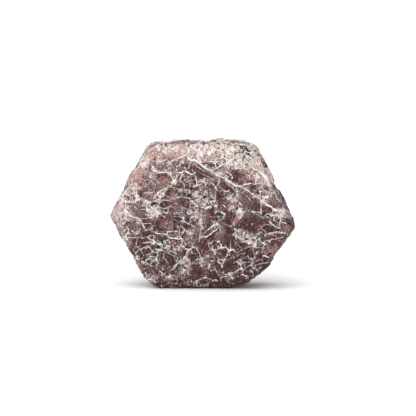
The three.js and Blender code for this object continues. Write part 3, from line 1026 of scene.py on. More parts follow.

# %% [markdown]
# ## Patches of colour
# Between the veins the stone changes in patches: pale matrix with white or cream veins in
# it, deep and light maroon, pink and mauve grains, grey green stains, and thin dark layers
# along the top. Painted sheen lies on the top band and on the upper left, upper right and
# left shoulders: the sheen and wear patches, which are partly worn skin that has lost its
# colour, and the pale and pink patches there. The deep patches are partly dark grains and
# partly painted shade towards the bottom and along the lower right rim. Each patch is an
# ellipse in the camera's view, given by its middle, half length and half width in pixels and
# its turn in degrees.

# %% Pale and cream patches
# The long ellipses along the top band and the upper left, upper right and left shoulders paint sheen
# there as well as pale matrix.
PALE_PATCHES = [
    (205, 148, 60, 10, 0), (158, 150, 15, 9, -30), (243, 156, 26, 13, 20), (266, 177, 20, 6, 55),
    (137, 160, 10, 8, -55), (134, 186, 6, 5, 0), (149, 195, 7, 4, 20), (250, 147, 7, 4, 20),
    (149, 174, 4, 8, 0), (270, 196, 9, 5, 40), (258, 188, 5, 3, 0), (208, 180, 6, 3, 0),
    (207, 192, 4, 3, 0), (131, 200, 5, 4, 0), (140, 203, 6, 3, 0), (231, 207, 4, 3, 0),
    (151, 212, 5, 6, 0), (286, 214, 5, 4, 0), (220, 228, 4, 4, 0), (248, 234, 6, 3, 0),
    (189, 240, 4, 5, 0), (172, 241, 6, 3, 0), (177, 247, 6, 4, 0), (260, 247, 6, 3, 20),
    (150, 272, 5, 4, 0), (128, 214, 6, 5, 0), (126, 240, 4, 8, -25), (241, 234, 7, 4, 0),
    (183, 269, 4, 7, 0), (118, 205, 9, 20, 20), (214, 173, 12, 4, 38), (230, 183, 10, 3, 32),
    (262, 200, 9, 4, 30), (282, 211, 9, 4, 5), (174, 181, 4, 3, -50), (161, 194, 8, 4, -70),
    (153, 205, 9, 6, 40), (196, 196, 4, 9, 0), (206, 203, 7, 5, -50), (231, 197, 6, 5, 0),
    (240, 213, 5, 7, 0), (215, 223, 5, 4, 0), (201, 224, 3, 14, 0), (193, 211, 4, 7, 0),
    (243, 236, 10, 5, 25), (253, 242, 7, 5, 40), (182, 217, 3, 5, 0), (187, 233, 3, 3, 0),
    (163, 245, 5, 3, 30), (157, 257, 4, 3, 0), (188, 264, 4, 8, 10), (153, 278, 6, 4, 0),
    (203, 261, 4, 4, 40), (168, 277, 4, 4, 0), (224, 259, 7, 2.5, 0), (231, 273, 4, 3, 0),
    (118, 226, 6, 14, -25), (133, 234, 7, 3, -30), (264, 235, 5, 4, 0), (277, 217, 5, 4, 0),
    (236, 163, 14, 6, 0), (258, 180, 4, 8, -30), (134, 198, 8, 5, 30), (168, 168, 9, 3, -20),
    (196, 157, 10, 4, 0),
]
CREAM_PATCHES = [
    (153, 206, 9, 6, 50), (246, 238, 12, 6, 35), (283, 212, 8, 5, 0), (240, 154, 22, 10, 15),
    (143, 160, 5, 7, 0), (152, 279, 4, 3, 0), (222, 151, 14, 6, 0), (138, 197, 7, 3, 20),
    (262, 199, 4, 4, 0), (207, 203, 5, 5, 0), (226, 247, 8, 3, 0), (230, 272, 6, 4, 0),
    (270, 182, 8, 5, 60), (240, 212, 4, 5, 0), (203, 194, 7, 8, 0), (157, 273, 8, 6, 0),
]
print("pale and cream patches:", len(PALE_PATCHES) + len(CREAM_PATCHES))

# %% Sheen and worn patches
# Painted sheen on the top band and the upper left, upper right and left shoulders, partly worn skin that
# has lost its colour.
SHEEN_AND_WEAR_PATCHES = [
    (205, 146, 64, 12, 0), (145, 150, 10, 10, 0), (133, 170, 10, 9, -55), (250, 153, 24, 14, 20),
    (263, 170, 18, 7, 58), (116, 207, 9, 26, 12), (113, 217, 4, 10, -20), (133, 185, 6, 5, 0),
    (143, 158, 5, 7, 0), (234, 163, 13, 6, 0), (265, 172, 6, 6, 58), (208, 158, 9, 4, 0),
    (240, 233, 4, 3, 15), (222, 170, 5, 3, 0),
]
print("worn patches:", len(SHEEN_AND_WEAR_PATCHES))

# %% Deep and light patches
# Partly dark grains, partly painted shade towards the bottom and along the lower right rim.
DEEP_AND_SHADE_PATCHES = [
    (115, 209, 6, 9, 0), (152, 272, 7, 4.5, 30), (151, 152, 5, 8, 0), (172, 156, 8, 4, -20),
    (172, 167, 6, 3, 0), (187, 163, 4, 4, 0), (137, 175, 5, 4, -30), (147, 188, 8, 3, 0),
    (207, 187, 7, 4, 0), (196, 190, 4, 4, 0), (230, 195, 5, 4, 0), (172, 227, 7, 6, 0),
    (160, 235, 6, 3, 0), (186, 236, 5, 4, 0), (147, 243, 6, 4, 0), (175, 264, 6, 9, 0),
    (195, 254, 6, 5, 0), (154, 252, 7, 5, 0), (206, 262, 4, 4, 0), (210, 249, 5, 4, 0),
    (224, 257, 8, 5, 0), (249, 273, 7, 5, -30), (213, 274, 7, 4, 0), (195, 279, 7, 3, 0),
    (265, 236, 5, 4, 0), (273, 221, 3, 6, 0), (240, 250, 6, 4, 0), (245, 222, 7, 4, 0),
    (222, 215, 4, 5, 0), (160, 207, 4, 4, 0), (281, 198, 5, 11, -30), (238, 281, 26, 4, -5),
    (265, 264, 14, 4, -45), (120, 228, 4, 6, -25), (154, 158, 6, 4, 0), (141, 173, 6, 6, -40),
    (167, 168, 9, 3, 0), (181, 154, 10, 3, -8), (246, 190, 7, 3, 30), (272, 230, 6, 6, 0),
    (232, 241, 5, 4, 0), (150, 250, 8, 6, 0), (250, 253, 12, 3, -25), (152, 227, 7, 3, 20),
    (164, 186, 8, 4, 20), (182, 193, 7, 3, 0), (183, 210, 6, 6, 0), (182, 223, 6, 5, 0),
    (254, 213, 4, 3, 0), (118, 216, 5, 3, 0), (168, 252, 5, 3, 0), (152, 264, 5, 3, 0),
    (245, 262, 8, 4, 0), (211, 171, 4, 7, -30), (224, 168, 5, 3, 0), (174, 156, 6, 3, -20),
    (149, 161, 3, 5, 0), (138, 179, 4, 8, 0), (252, 162, 4, 3, 0), (270, 181, 4, 4, 0),
    (293, 222, 3, 5, 0), (136, 244, 4, 8, 0), (186, 256, 6, 3, 0), (167, 250, 5, 3, 0),
    (210, 243, 5, 6, 0), (220, 251, 6, 3, 0), (192, 261, 4, 4, 0), (176, 258, 6, 4, 0),
    (239, 252, 4, 8, 0), (165, 274, 4, 3, 0), (216, 272, 5, 3, 0), (267, 234, 7, 4, 0),
    (273, 222, 4, 7, 0), (223, 177, 4, 2, 0), (258, 197, 3, 4, 0), (147, 245, 7, 5, 0),
    (168, 234, 5, 3, 0),
]
LIGHT_PATCHES = [
    (166, 149, 6, 4, 0), (162, 165, 5, 4, 0), (140, 159, 3, 6, 0), (127, 182, 4, 8, -30),
    (195, 210, 4, 4, 0), (202, 217, 5, 7, 0), (167, 225, 5, 7, 0), (126, 229, 4, 5, 0),
    (220, 222, 3, 4, 0), (244, 190, 5, 4, 0), (238, 198, 4, 5, 0), (246, 148, 6, 4, 0),
    (243, 158, 5, 5, 0), (258, 170, 9, 3, 0), (174, 172, 6, 3, 0), (194, 162, 7, 3, 0),
    (279, 201, 5, 3, 45), (137, 263, 3, 6, -30), (206, 266, 6, 3, 0), (211, 255, 5, 3, 0),
    (198, 188, 5, 3, 0), (188, 270, 3, 5, 0), (180, 275, 6, 3, 0), (174, 200, 4, 4, 0),
    (153, 218, 5, 4, 0), (276, 202, 6, 4, 40), (236, 164, 14, 7, 0), (258, 178, 5, 9, -30),
    (212, 156, 8, 5, 0), (267, 197, 5, 6, 0), (133, 185, 6, 6, 0), (150, 180, 4, 9, 0),
    (149, 195, 8, 4, 20), (208, 180, 5, 3, 0), (219, 149, 7, 5, 0), (250, 147, 7, 4, 0),
    (245, 178, 4, 4, 0), (245, 200, 4, 4, 0), (245, 212, 4, 4, 0), (190, 237, 8, 4, 0),
    (184, 268, 5, 8, 0), (205, 266, 5, 4, 0), (231, 277, 5, 3, 0), (252, 246, 5, 3, 0),
    (127, 215, 5, 5, 0), (136, 223, 5, 4, 0), (246, 235, 8, 4, 0), (220, 234, 4, 5, 0),
    (150, 172, 6, 5, 0), (135, 210, 7, 9, 0), (151, 208, 4, 7, 0), (142, 199, 6, 4, 0),
    (187, 266, 3, 6, 0), (167, 279, 4, 3, 0), (152, 279, 5, 3, 0), (232, 207, 4, 3, 0),
    (217, 208, 3, 4, 0), (194, 228, 4, 4, 0), (173, 197, 3, 6, 0), (285, 214, 5, 4, 0),
    (286, 228, 5, 5, 0), (270, 254, 5, 4, 0), (177, 209, 7, 4, 0), (127, 240, 4, 6, -25),
    (113, 216, 3, 8, 0), (202, 203, 5, 5, 0),
]
print("deep and light patches:", len(DEEP_AND_SHADE_PATCHES) + len(LIGHT_PATCHES))

# %% Pink, mauve and grey green patches, and dark layers
# The pink ellipses along the top band partly paint sheen there.
PINK_PATCHES = [
    (153, 155, 9, 9, 0), (174, 155, 8, 4, -20), (188, 263, 7.5, 2.2, 75), (236, 219, 8, 2.5, -65),
    (271, 250, 7, 4, 0), (138, 176, 8, 11, -30), (225, 153, 11, 7, 0), (255, 163, 8, 6, 30),
    (163, 182, 7, 5, 0), (152, 201, 4, 3, 0), (250, 174, 6, 4, 40),
]
MAUVE_PATCHES = [
    (153, 172, 16, 9, 0), (122, 222, 9, 20, -15), (176, 211, 12, 6, 0), (122, 202, 10, 14, 0),
    (150, 187, 14, 9, 0), (183, 176, 12, 7, 0), (135, 225, 7, 12, 0), (186, 160, 16, 5, 0),
    (140, 205, 14, 8, 20), (205, 190, 10, 9, 0), (240, 195, 20, 10, 30), (272, 195, 9, 9, 0),
]
GREY_GREEN_PATCHES = [
    (239, 157, 12, 5, 0), (243, 149, 9, 6, 20), (259, 151, 2.5, 6, -32), (262.5, 159, 2, 3, -32),
    (161.5, 241.5, 4, 3, 60), (154.5, 254, 3, 2.5, 0), (256.5, 243, 3, 5, 0), (171, 267, 4, 2.5, 0),
    (182.5, 259.5, 2.5, 1.2, -40), (218, 213, 4, 3, 0), (193, 141, 8, 2, 0), (208, 141, 9, 2, 0),
    (236, 208.5, 2.5, 3, 0), (204, 197, 4, 3.5, 0), (248, 211, 3, 5, 0), (253, 258.5, 2, 1.2, 0),
    (268, 216, 4, 2.5, 0), (256, 236, 3, 4, 0),
]
LAYERED_PATCHES = [
    (208, 141.5, 38, 2.8, 0), (257.5, 152, 9, 2.6, 62), (160, 144.5, 16, 1.6, 0),
]
print("tinted patches:", len(PINK_PATCHES) + len(MAUVE_PATCHES) + len(GREY_GREEN_PATCHES))

# %% [markdown]
# ## Ragged edges, and the sides that the camera misses
# An ellipse with a clean edge would look like a sticker, so its distance is roughened by
# clouds, and by a broader cloud where the view grazes the skin. Behind the outline a cloud
# of about the same size, cut off at a limit, gives patches of the same kind.

# %% Patches in the camera's view and out of it
PATCH_EDGE = 0.3
PATCH_RAGGED = 0.35
RAGGED_SIZES = ((1.3, 1.0, 71), (0.7, 0.6, 72))  # size, strength and seed
GRAZING_RAGGED, GRAZING_RAGGED_SIZE, GRAZING_RAGGED_SEED = 4.5, 4.0, 73
GRAZING_PATCH = (0.1, 0.45)  # facing from which a patch starts to stretch
HIDDEN_EDGE = 0.25
ragged = sum(strength * cloud(turned_skin, size, seed) for size, strength, seed in RAGGED_SIZES)
stretched = GRAZING_RAGGED * (1 - smooth_step(*GRAZING_PATCH, broad_facing))
ragged += stretched * cloud(turned_skin, GRAZING_RAGGED_SIZE, GRAZING_RAGGED_SEED)


def patches(shapes, edge=PATCH_EDGE, spread=1.0):
    """From 0 outside to 1 inside any of the ellipses: each place is turned and divided by
    the half sizes, so that the edge lies at a distance of one."""
    strength = np.zeros(len(skin))
    for column, row, long, wide, turn in shapes:
        turn = math.radians(turn)
        away = picture - np.array([column, row])
        along = away @ np.array([math.cos(turn), math.sin(turn)]) / long
        across = away @ np.array([-math.sin(turn), math.cos(turn)]) / wide
        far = np.hypot(along, across) / spread + PATCH_RAGGED * ragged
        strength = np.maximum(strength, 1 - smooth_step(1 - edge, 1 + edge, far))
    return strength * seen


def hidden_patches(size, seed, threshold):
    """The same kind of patch behind the outline: a cloud above a limit."""
    amount = layered_cloud(turned_skin, size, seed)
    return smooth_step(threshold, threshold + HIDDEN_EDGE, amount) * (1 - seen)


def everywhere(shapes, edge, size, seed, threshold, spread=1.0):
    """Drawn patches where the camera sees the skin and clouds where it doesn't."""
    return patches(shapes, edge, spread) + hidden_patches(size, seed, threshold)


print("roughness of the patch edges", round(float((PATCH_RAGGED * ragged).std()), 2))

# %% All the patches
# The ellipses and how soft their edge is, then size, seed and limit of the cloud that
# stands in for them out of view, and how far the ellipses are spread.
PATCH_KINDS = [
    (PALE_PATCHES, 0.5, 7.0, 81, 0.1),
    (CREAM_PATCHES, 0.5, 6.0, 86, 0.3),
    (DEEP_AND_SHADE_PATCHES, 0.6, 6.0, 89, 0.2),
    (LIGHT_PATCHES, 0.6, 7.0, 80, 0.0),
    (PINK_PATCHES, PATCH_EDGE, 6.0, 82, 0.25),
    (MAUVE_PATCHES, 0.6, 8.0, 83, 0.0),
    (SHEEN_AND_WEAR_PATCHES, 0.45, 9.0, 87, 0.2),
    (CLEAN_PATCHES, PATCH_EDGE, 5.0, 84, 0.12, GRAIN_SPREAD),
]
STAIN_EDGE, STAIN_CLOUD = 0.6, (4.0, 88, 0.45)
pale, cream, deep_and_shade, light, pink, mauve, sheen_and_wear, clean = [everywhere(*kind) for kind in PATCH_KINDS]
grey_green = kept_share * patches(GREY_GREEN_PATCHES, STAIN_EDGE) + hidden_patches(*STAIN_CLOUD)
print("share of the skin that is clean grain", round(float((clean > 0.5).mean()), 2))

# %% [markdown]
# ## Painted sheen down the left side, and dark layers
# The edge down the left carries painted sheen, partly worn pale skin, and the side behind
# it is painted paler too, from the top down to where the pale edge ends. Along the top and
# upper right edges thin layers of dark mica lie in the stone. Noise squeezed along X makes
# streaks that are long in one direction and thin in the other.

# %% Painted sheen down the left side, and dark layers
# Painted sheen, partly pale wear, on the left side out of view: how strong it is, and at which turns and
# heights it starts and ends.
LEFT_SIDE_SHEEN_AND_WEAR = 0.75
LEFT_SIDE_TURN = (0.35, 0.75)  # how far round to the left the wear starts and is full
LEFT_SIDE_FOOT = (-16, -6)  # height from the centre at which it ends
LAYER_SQUEEZE = np.array([0.3, 1.0, 0.5])
LAYER_THICKNESS, LAYER_SEED = 1.6, 96
LAYER_EDGE, LAYER_PATCH_EDGE = (0.1, 0.35), 0.6
LAYER_DARKNESS = 0.6
DARK_CLOUD = (2.2, 85, 0.5)  # size, seed and limit of dark clouds out of view

# Painted sheen from the left light, partly pale wear, carried round the left side out of view.
left_side_sheen = smooth_step(*LEFT_SIDE_TURN, -broad_outward[:, 0])
left_side_sheen = left_side_sheen * smooth_step(*LEFT_SIDE_FOOT, skin[:, 2])
sheen_and_wear = np.maximum(sheen_and_wear, LEFT_SIDE_SHEEN_AND_WEAR * left_side_sheen * (1 - seen))
layers = smooth_step(*LAYER_EDGE, cloud(skin * LAYER_SQUEEZE, LAYER_THICKNESS, LAYER_SEED))
layers = LAYER_DARKNESS * layers * patches(LAYERED_PATCHES, LAYER_PATCH_EDGE)
dark = hidden_patches(*DARK_CLOUD) + layers
print("share of the skin that is worn", round(float((sheen_and_wear > 0.5).mean()), 2))

# %% [markdown]
# ## Relief
# What the hand would feel: grains broken at slightly different levels and tilts, cracks sunk
# a little between them, cloudy unevenness everywhere except on the clean grains, small pits
# where dark minerals fell out, and fine growth lines on the prism. A displacement modifier
# with a texture could push the mesh, but here the relief has to follow the same cracks and
# patches as the colour, so it is worked out from them.

# %% Tilted grains and grooves
COARSE_TILT, COARSE_LEVEL = 0.10, 0.10
FINE_TILT, FINE_LEVEL = 0.10, 0.05
LEVEL_STEPS, LEVEL_SEED = 9, 3
TURN_RATIO = 2.3  # so that the three parts of a slope are unlike each other


def tilted_grains(grains, tilt, level):
    """Each grain's face is a plane of its own: its random level plus its random slope times
    the place measured from its seed."""
    way, reach, own, grain, wall = grains
    turn = 2 * np.pi * grain
    slope = np.stack([np.cos(turn), np.sin(TURN_RATIO * turn), np.sin(turn)], axis=-1)
    rise = np.einsum("ij,ij->i", turned_skin - own, slope)
    return tilt * rise + level * (2 * cell_random(np.round(own * LEVEL_STEPS), LEVEL_SEED) - 1)


def groove(reach, width, depth):
    """A rounded trench along a line: depth times e to the minus squared distance in
    widths."""
    return depth * np.exp(-(reach / width) ** 2)


print("one width out, a groove keeps", round(groove(1.0, 1.0, 1.0), 2), "of its depth")

# %% Relief of the skin
CLEAN_CALM = 0.75  # share of the roughness that a clean grain loses
UNEVEN = ((6.0, 0.22, 91), (2.4, 0.14, 92), (1.1, 0.08, 93))  # size, height and seed
CRACK_WIDTH, CRACK_DEPTH = 0.35, 0.10
VEIN_DEPTH = 0.10
PIT_DEPTH = 0.35
PRISM_TURN = (0.45, 0.2)  # how far the skin may look along the axis and still be prism
STRIA_SPACING, STRIA_DEPTH = 1.15, 0.06
STRIA_SQUEEZE = np.array([0.25, 1, 0.25])
STRIA_WANDER, STRIA_WANDER_SIZE, STRIA_SEED = 0.5, 2.0, 95

roughness = 1 - CLEAN_CALM * np.clip(clean, 0, 1)
relief = sum(height * roughness * layered_cloud(turned_skin, size, seed, 2)
             for size, height, seed in UNEVEN)
relief += roughness * tilted_grains(coarse, COARSE_TILT, COARSE_LEVEL)
relief += roughness * tilted_grains(fine, FINE_TILT, FINE_LEVEL)
relief -= roughness * groove(coarse_reach, CRACK_WIDTH, CRACK_DEPTH * coarse_wall)
relief -= groove(vein_reach, vein_width, VEIN_DEPTH)
relief -= PIT_DEPTH * np.clip(dark, 0, 1)
relief -= groove(dark_reach, dark_width, PIT_DEPTH)
on_prism = smooth_step(*PRISM_TURN, np.abs(outward[:, 1]))
stria_wander = STRIA_WANDER * cloud(skin * STRIA_SQUEEZE, STRIA_WANDER_SIZE, STRIA_SEED)
stria = np.sin(2 * np.pi * (skin[:, 1] / STRIA_SPACING + stria_wander))
relief -= on_prism * STRIA_DEPTH * (1 + stria) / 2
print("relief from", round(float(relief.min()), 2), "to", round(float(relief.max()), 2), "mm")

# %% [markdown]
# ## The mesh
# The relief is laid on the skin along its outward directions and the points become one
# closed mesh, smooth-shaded, flat where it stands on the floor. Everything that the material
# has to know about a vertex is stored on the mesh: four arrows, and layers of four values
# each, because a colour layer has four channels.

# %% The finished surface
RELIEF_SINK = 0.15  # so that the highest bumps reach the stone's true size
surface = skin + outward * (relief - RELIEF_SINK)[:, None] + to_frame
surface[:, 2] = np.maximum(surface[:, 2], 0.0)


def skin_mesh(name, points, faces):
    """A mesh of quads from two arrays, in metres, shaded smooth."""
    mesh = bpy.data.meshes.new(name)
    mesh.from_pydata(points / METRE, [], faces)
    mesh.polygons.foreach_set("use_smooth", np.ones(len(faces), dtype=bool))
    mesh.update()
    return mesh


mesh = skin_mesh("ruby_stone", surface, quads)
stone = bpy.data.objects.new("ruby_stone", mesh)
bpy.context.collection.objects.link(stone)
print(stone.name, "has", len(mesh.vertices), "vertices and", len(mesh.polygons), "quads")

# %% Marks stored on the mesh
CHANNELS = 4  # of a colour layer
ARROWS = {"vein": vein_way, "dark": dark_way, "coarse": coarse_way, "fine": fine_way}
LAYERS = {
    "tints": {"pale": pale, "pink": pink, "mauve": mauve, "clean": clean},
    "specks": {"dark": dark, "seen": seen, "cream": cream},
    "sheen_and_tones": {"sheen_and_wear": sheen_and_wear, "deep_and_shade": deep_and_shade, "grey_green": grey_green, "light": light},
    "vein_facts": {"vein_reach": vein_reach, "vein_width": vein_width,
                   "vein_strength": vein_strength},
    "dark_facts": {"dark_reach": dark_reach, "dark_width": dark_width,
                   "dark_strength": dark_strength},
    "coarse_facts": {"coarse_reach": coarse_reach, "coarse_wall": coarse_wall,
                     "coarse_grain": coarse_grain},
    "fine_facts": {"fine_reach": fine_reach, "fine_wall": fine_wall, "fine_grain": fine_grain},
}


def vertex_values(mesh, name, kind, field, values):
    """Stores one value for each vertex under a name that a material can read."""
    layer = mesh.attributes.new(name, kind, "POINT")
    layer.data.foreach_set(field, np.ascontiguousarray(values, dtype=np.float32).ravel())


for name, way in ARROWS.items():
    vertex_values(mesh, f"{name}_way", "FLOAT_VECTOR", "vector", way)
for name, marks in LAYERS.items():
    channels = np.ones((len(skin), CHANNELS))
    for channel, values in enumerate(marks.values()):
        channels[:, channel] = values
    vertex_values(mesh, name, "FLOAT_COLOR", "color", channels)
print("stored", len(ARROWS), "arrows and", len(LAYERS), "layers of marks")

# %% [markdown]
# ## A short way to write nodes
# A procedural material is a long chain of small nodes. Dragging them in the shader editor
# works, but a chain of two hundred is hard to read. A small helper with one method for each
# kind of node lets the material be written like a sum, and makes exactly the same nodes.

# %% Nodes that calculate
MIX_PLACES, MIX_RESULT = (0, 6, 7), 2  # factor and both colours of a Mix node, and its colour


class Sums:
    """Adds nodes to one tree. Every method takes sockets or plain numbers and gives back
    the new node's output socket, unless it says otherwise."""

    def __init__(self, tree):
        self.tree = tree

    def add(self, kind, **settings):
        """A new node with the given settings; gives back the node."""
        node = self.tree.nodes.new(kind)
        for name, value in settings.items():
            setattr(node, name, value)
        return node

    def wire(self, socket, value):
        """Links another node's output to an input, or sets a plain value on it."""
        if isinstance(value, bpy.types.NodeSocket):
            self.tree.links.new(value, socket)
        else:
            socket.default_value = value

    def feed(self, node, **values):
        """Wires inputs by name, an underscore for a space; gives back the node."""
        for name, value in values.items():
            self.wire(node.inputs[name.replace("_", " ")], value)
        return node

    def feed_in_order(self, node, values, places=(0, 1, 2)):
        """Wires inputs by place, for nodes whose inputs share a name; gives back the node."""
        for place, value in zip(places, values):
            self.wire(node.inputs[place], value)
        return node

    def math(self, operation, *values, clamp=False):
        """One calculation with up to three values."""
        node = self.add("ShaderNodeMath", operation=operation, use_clamp=clamp)
        return self.feed_in_order(node, values).outputs[0]

    def chain(self, operation, values):
        """The operation carried along a list of values, two at a time."""
        result = values[0]
        for value in values[1:]:
            result = self.math(operation, result, value)
        return result

    def total(self, *values):
        """All the values added up."""
        return self.chain("ADD", values)

    def product(self, *values):
        """All the values multiplied."""
        return self.chain("MULTIPLY", values)

    def greatest(self, *values):
        """The greatest of the values."""
        return self.chain("MAXIMUM", values)

    def line(self, value, slope, start):
        """The value times a slope, plus a start."""
        return self.math("MULTIPLY_ADD", value, slope, start)

    def clamped(self, value):
        """The value held between nought and one."""
        return self.math("ADD", value, 0.0, clamp=True)

    def vector(self, operation, *values):
        """One calculation with vectors, where LENGTH gives a plain value."""
        node = self.add("ShaderNodeVectorMath", operation=operation)
        self.feed_in_order(node, values)
        return node.outputs["Value" if operation == "LENGTH" else "Vector"]

    def scaled(self, vector, factor):
        """The vector times a factor."""
        node = self.add("ShaderNodeVectorMath", operation="SCALE")
        return self.feed(node, Vector=vector, Scale=factor).outputs["Vector"]

    def mix(self, share, first, second):
        """The first colour, with the given share of the second over it."""
        node = self.add("ShaderNodeMix", data_type="RGBA")
        return self.feed_in_order(node, (share, first, second), MIX_PLACES).outputs[MIX_RESULT]


print("ways to calculate:", sorted(name for name in vars(Sums) if name[0] != "_"))

# %% [markdown]
# ## Patterns and marks
# Three of Blender's patterns are enough for this stone: an S-shaped ramp that turns a value
# into a mask, cloudy noise, and cells, whose walls look like fine cracks. Marks come from
# the layers that are stored on the mesh.


# %% Nodes that make and read patterns
class Nodes(Sums):
    """The same helper with patterns, and with marks that are read off the mesh."""

    def ramp(self, value, low, high, out_low=0.0, out_high=1.0):
        """An S-shaped change from one output to the other between low and high."""
        node = self.add("ShaderNodeMapRange", interpolation_type="SMOOTHSTEP")
        self.feed(node, Value=value, From_Min=low, From_Max=high, To_Min=out_low,
                  To_Max=out_high)
        return node.outputs["Result"]

    def band(self, distance, width, softness):
        """One where the distance is under the width, nought past it, with a soft edge."""
        return self.ramp(distance, self.math("SUBTRACT", width, softness),
                         self.math("ADD", width, softness), 1.0, 0.0)

    def noise(self, place, size, detail=2.0, roughness=0.5, output="Fac"):
        """Cloudy noise with features of the given size."""
        node = self.add("ShaderNodeTexNoise")
        self.feed(node, Vector=place, Scale=1 / size, Detail=detail, Roughness=roughness)
        return node.outputs[output]

    def crackle(self, place, size):
        """Distance to the nearest wall of a pattern of cells, in cell sizes."""
        node = self.add("ShaderNodeTexVoronoi", feature="DISTANCE_TO_EDGE")
        return self.feed(node, Vector=place, Scale=1 / size).outputs["Distance"]

    def cells(self, place, size):
        """Three random numbers for each cell of the pattern."""
        node = self.feed(self.add("ShaderNodeTexVoronoi"), Vector=place, Scale=1 / size)
        return self.split(node.outputs["Color"])

    def split(self, colour):
        """The three channels of a colour, as three sockets."""
        return list(self.feed(self.add("ShaderNodeSeparateColor"), Color=colour).outputs)

    def arrow(self, name):
        """An arrow that is stored on the mesh."""
        return self.add("ShaderNodeAttribute", attribute_name=name).outputs["Vector"]

    def marks(self, name):
        """The four values of a layer that is stored on the mesh, as four sockets."""
        stored = self.add("ShaderNodeAttribute", attribute_name=name)
        return [*self.split(stored.outputs["Color"]), stored.outputs["Alpha"]]

    def report(self, made):
        """Prints what was made, and how many nodes there are now."""
        print(f"{made}: {len(self.tree.nodes)} nodes so far")


print("patterns and marks:", sorted(name for name in vars(Nodes) if name[0] != "_"))

# %% [markdown]
# ## A sharp line from arrows
# Four patterns of lines cross the stone: the drawn veins, the dark marks, and the cracks
# round coarse and fine grains. All are read from arrows in the same way, so that reading is
# a node group, made once and placed four times with values of its own. Halfway between two
# lines the arrows of neighbouring vertices point opposite ways, and their mean would read as
# a false line. The stored distance sets a lower limit that rules it out.

# %% Node group: a sharp line from arrows
READ_SLACK = 0.30  # an arrow read between two vertices may be this much too short
LINE_INPUTS = {"Way": "NodeSocketVector", "Reach": "NodeSocketFloat",
               "Width": "NodeSocketFloat", "Fray": "NodeSocketFloat",
               "Softness": "NodeSocketFloat"}


def line_group():
    """Mask of a line: its distance is the arrow's length, but never less than the stored
    distance minus the slack. The fray widens and narrows it, and inside its width the mask
    is one."""
    tree = bpy.data.node_groups.new("line_from_arrow", "ShaderNodeTree")
    for name, kind in LINE_INPUTS.items():
        tree.interface.new_socket(name, in_out="INPUT", socket_type=kind)
    tree.interface.new_socket("Mask", in_out="OUTPUT", socket_type="NodeSocketFloat")
    n = Nodes(tree)
    given = n.add("NodeGroupInput").outputs
    length = n.vector("LENGTH", given["Way"])
    least = n.math("SUBTRACT", given["Reach"], READ_SLACK)
    distance = n.total(n.greatest(length, least), given["Fray"])
    n.feed(n.add("NodeGroupOutput"), Mask=n.band(distance, given["Width"], given["Softness"]))
    return tree


line_from_arrow = line_group()
print("node group", line_from_arrow.name, "has", len(line_from_arrow.nodes), "nodes")

# %% [markdown]
# ## Colours of the minerals
# Ruby of this quality is opaque, and its red is brown: iron and crushing have taken the fire
# out of it. Its colours are given as they would be read off a screen, from 0 to 255, because
# that is how one picks them, and are turned into the linear light that a shader takes.

# %% Colours of the minerals
SCREEN_LEVELS = 255
SCREEN_KNEE, SCREEN_SLOPE = 0.04045, 12.92  # the straight foot of the sRGB curve
SCREEN_OFFSET, SCREEN_POWER = 0.055, 2.4


def colour(red, green, blue):
    """A screen colour of 0 to 255 a channel as linear light, by the sRGB curve: a straight
    foot, and above it a power of the raised value."""
    screen = np.array([red, green, blue]) / SCREEN_LEVELS
    curve = ((screen + SCREEN_OFFSET) / (1 + SCREEN_OFFSET)) ** SCREEN_POWER
    linear = np.where(screen <= SCREEN_KNEE, screen / SCREEN_SLOPE, curve)
    return (*linear.tolist(), 1.0)


DEEP_MAROON = colour(25, 8, 7)
MAROON = colour(71, 35, 32)
ROSE_BROWN = colour(115, 73, 69)
MAUVE = colour(134, 108, 115)
PALE_ROSE_GREY = colour(183, 167, 163)
SHEEN_AND_WEAR_TINT = colour(196, 167, 161)
PINK = colour(176, 132, 124)
GREYED_CREAM = colour(207, 200, 188)
CREAM = colour(243, 234, 221)
VEIN_WHITE = colour(253, 249, 247)
GREY_GREEN = colour(120, 124, 116)
GREEN_BLACK = colour(28, 36, 33)
print("maroon in linear light:", [round(value, 3) for value in MAROON[:3]])

# %% [markdown]
# ## The ruby material begins
# One opaque material covers the whole stone, because veins and grains run into each other
# everywhere. It starts by reading the marks off the mesh. Noise finer than the mesh comes
# from texture nodes on Object coordinates in millimetres, turned like the lattice of the
# relief, so that no pattern lies square to a face.

# %% Material, place and marks
ruby_skin = bpy.data.materials.new("ruby_skin")
ruby_skin.use_nodes = True
ruby_skin.node_tree.nodes.clear()
n = Nodes(ruby_skin.node_tree)
straight = n.scaled(n.add("ShaderNodeTexCoord").outputs["Object"], METRE)
turned = n.add("ShaderNodeMapping", vector_type="VECTOR")
n.feed(turned, Vector=straight, Rotation=LATTICE_TURN)
place = turned.outputs["Vector"]

pale_share, pink_share, mauve_share, clean_share = n.marks("tints")
dark_share, seen_share, cream_share, _ = n.marks("specks")
sheen_and_wear_share, deep_and_shade_share, grey_share, light_share = n.marks("sheen_and_tones")
vein_distance, vein_half, vein_white, _ = n.marks("vein_facts")
dark_distance, dark_half, dark_depth, _ = n.marks("dark_facts")
coarse_distance, coarse_luck, _, _ = n.marks("coarse_facts")
fine_distance, fine_luck, fine_tone, _ = n.marks("fine_facts")
n.report("material, place and marks")

# %% [markdown]
# ## Clouds, and how much matrix there is
# The real stone is a mixture at every scale, so five clouds of different sizes are shared by
# all that follows. The first use is the matrix: the share of pale feldspar between the ruby
# grains. It is high in pale and light patches and beside veins, low in deep and clean ones.

# %% Clouds at five sizes
BROAD, MEDIUM, SMALL, TINY, GRIT = 7.0, 2.4, 1.0, 0.45, 0.32  # millimetres
TINY_ROUGHNESS, GRIT_DETAIL = 0.6, 1.0
broad, medium, small = [n.noise(place, size) for size in (BROAD, MEDIUM, SMALL)]
tiny = n.noise(place, TINY, roughness=TINY_ROUGHNESS)
grit = n.noise(place, GRIT, detail=GRIT_DETAIL)
n.report("clouds at five sizes")

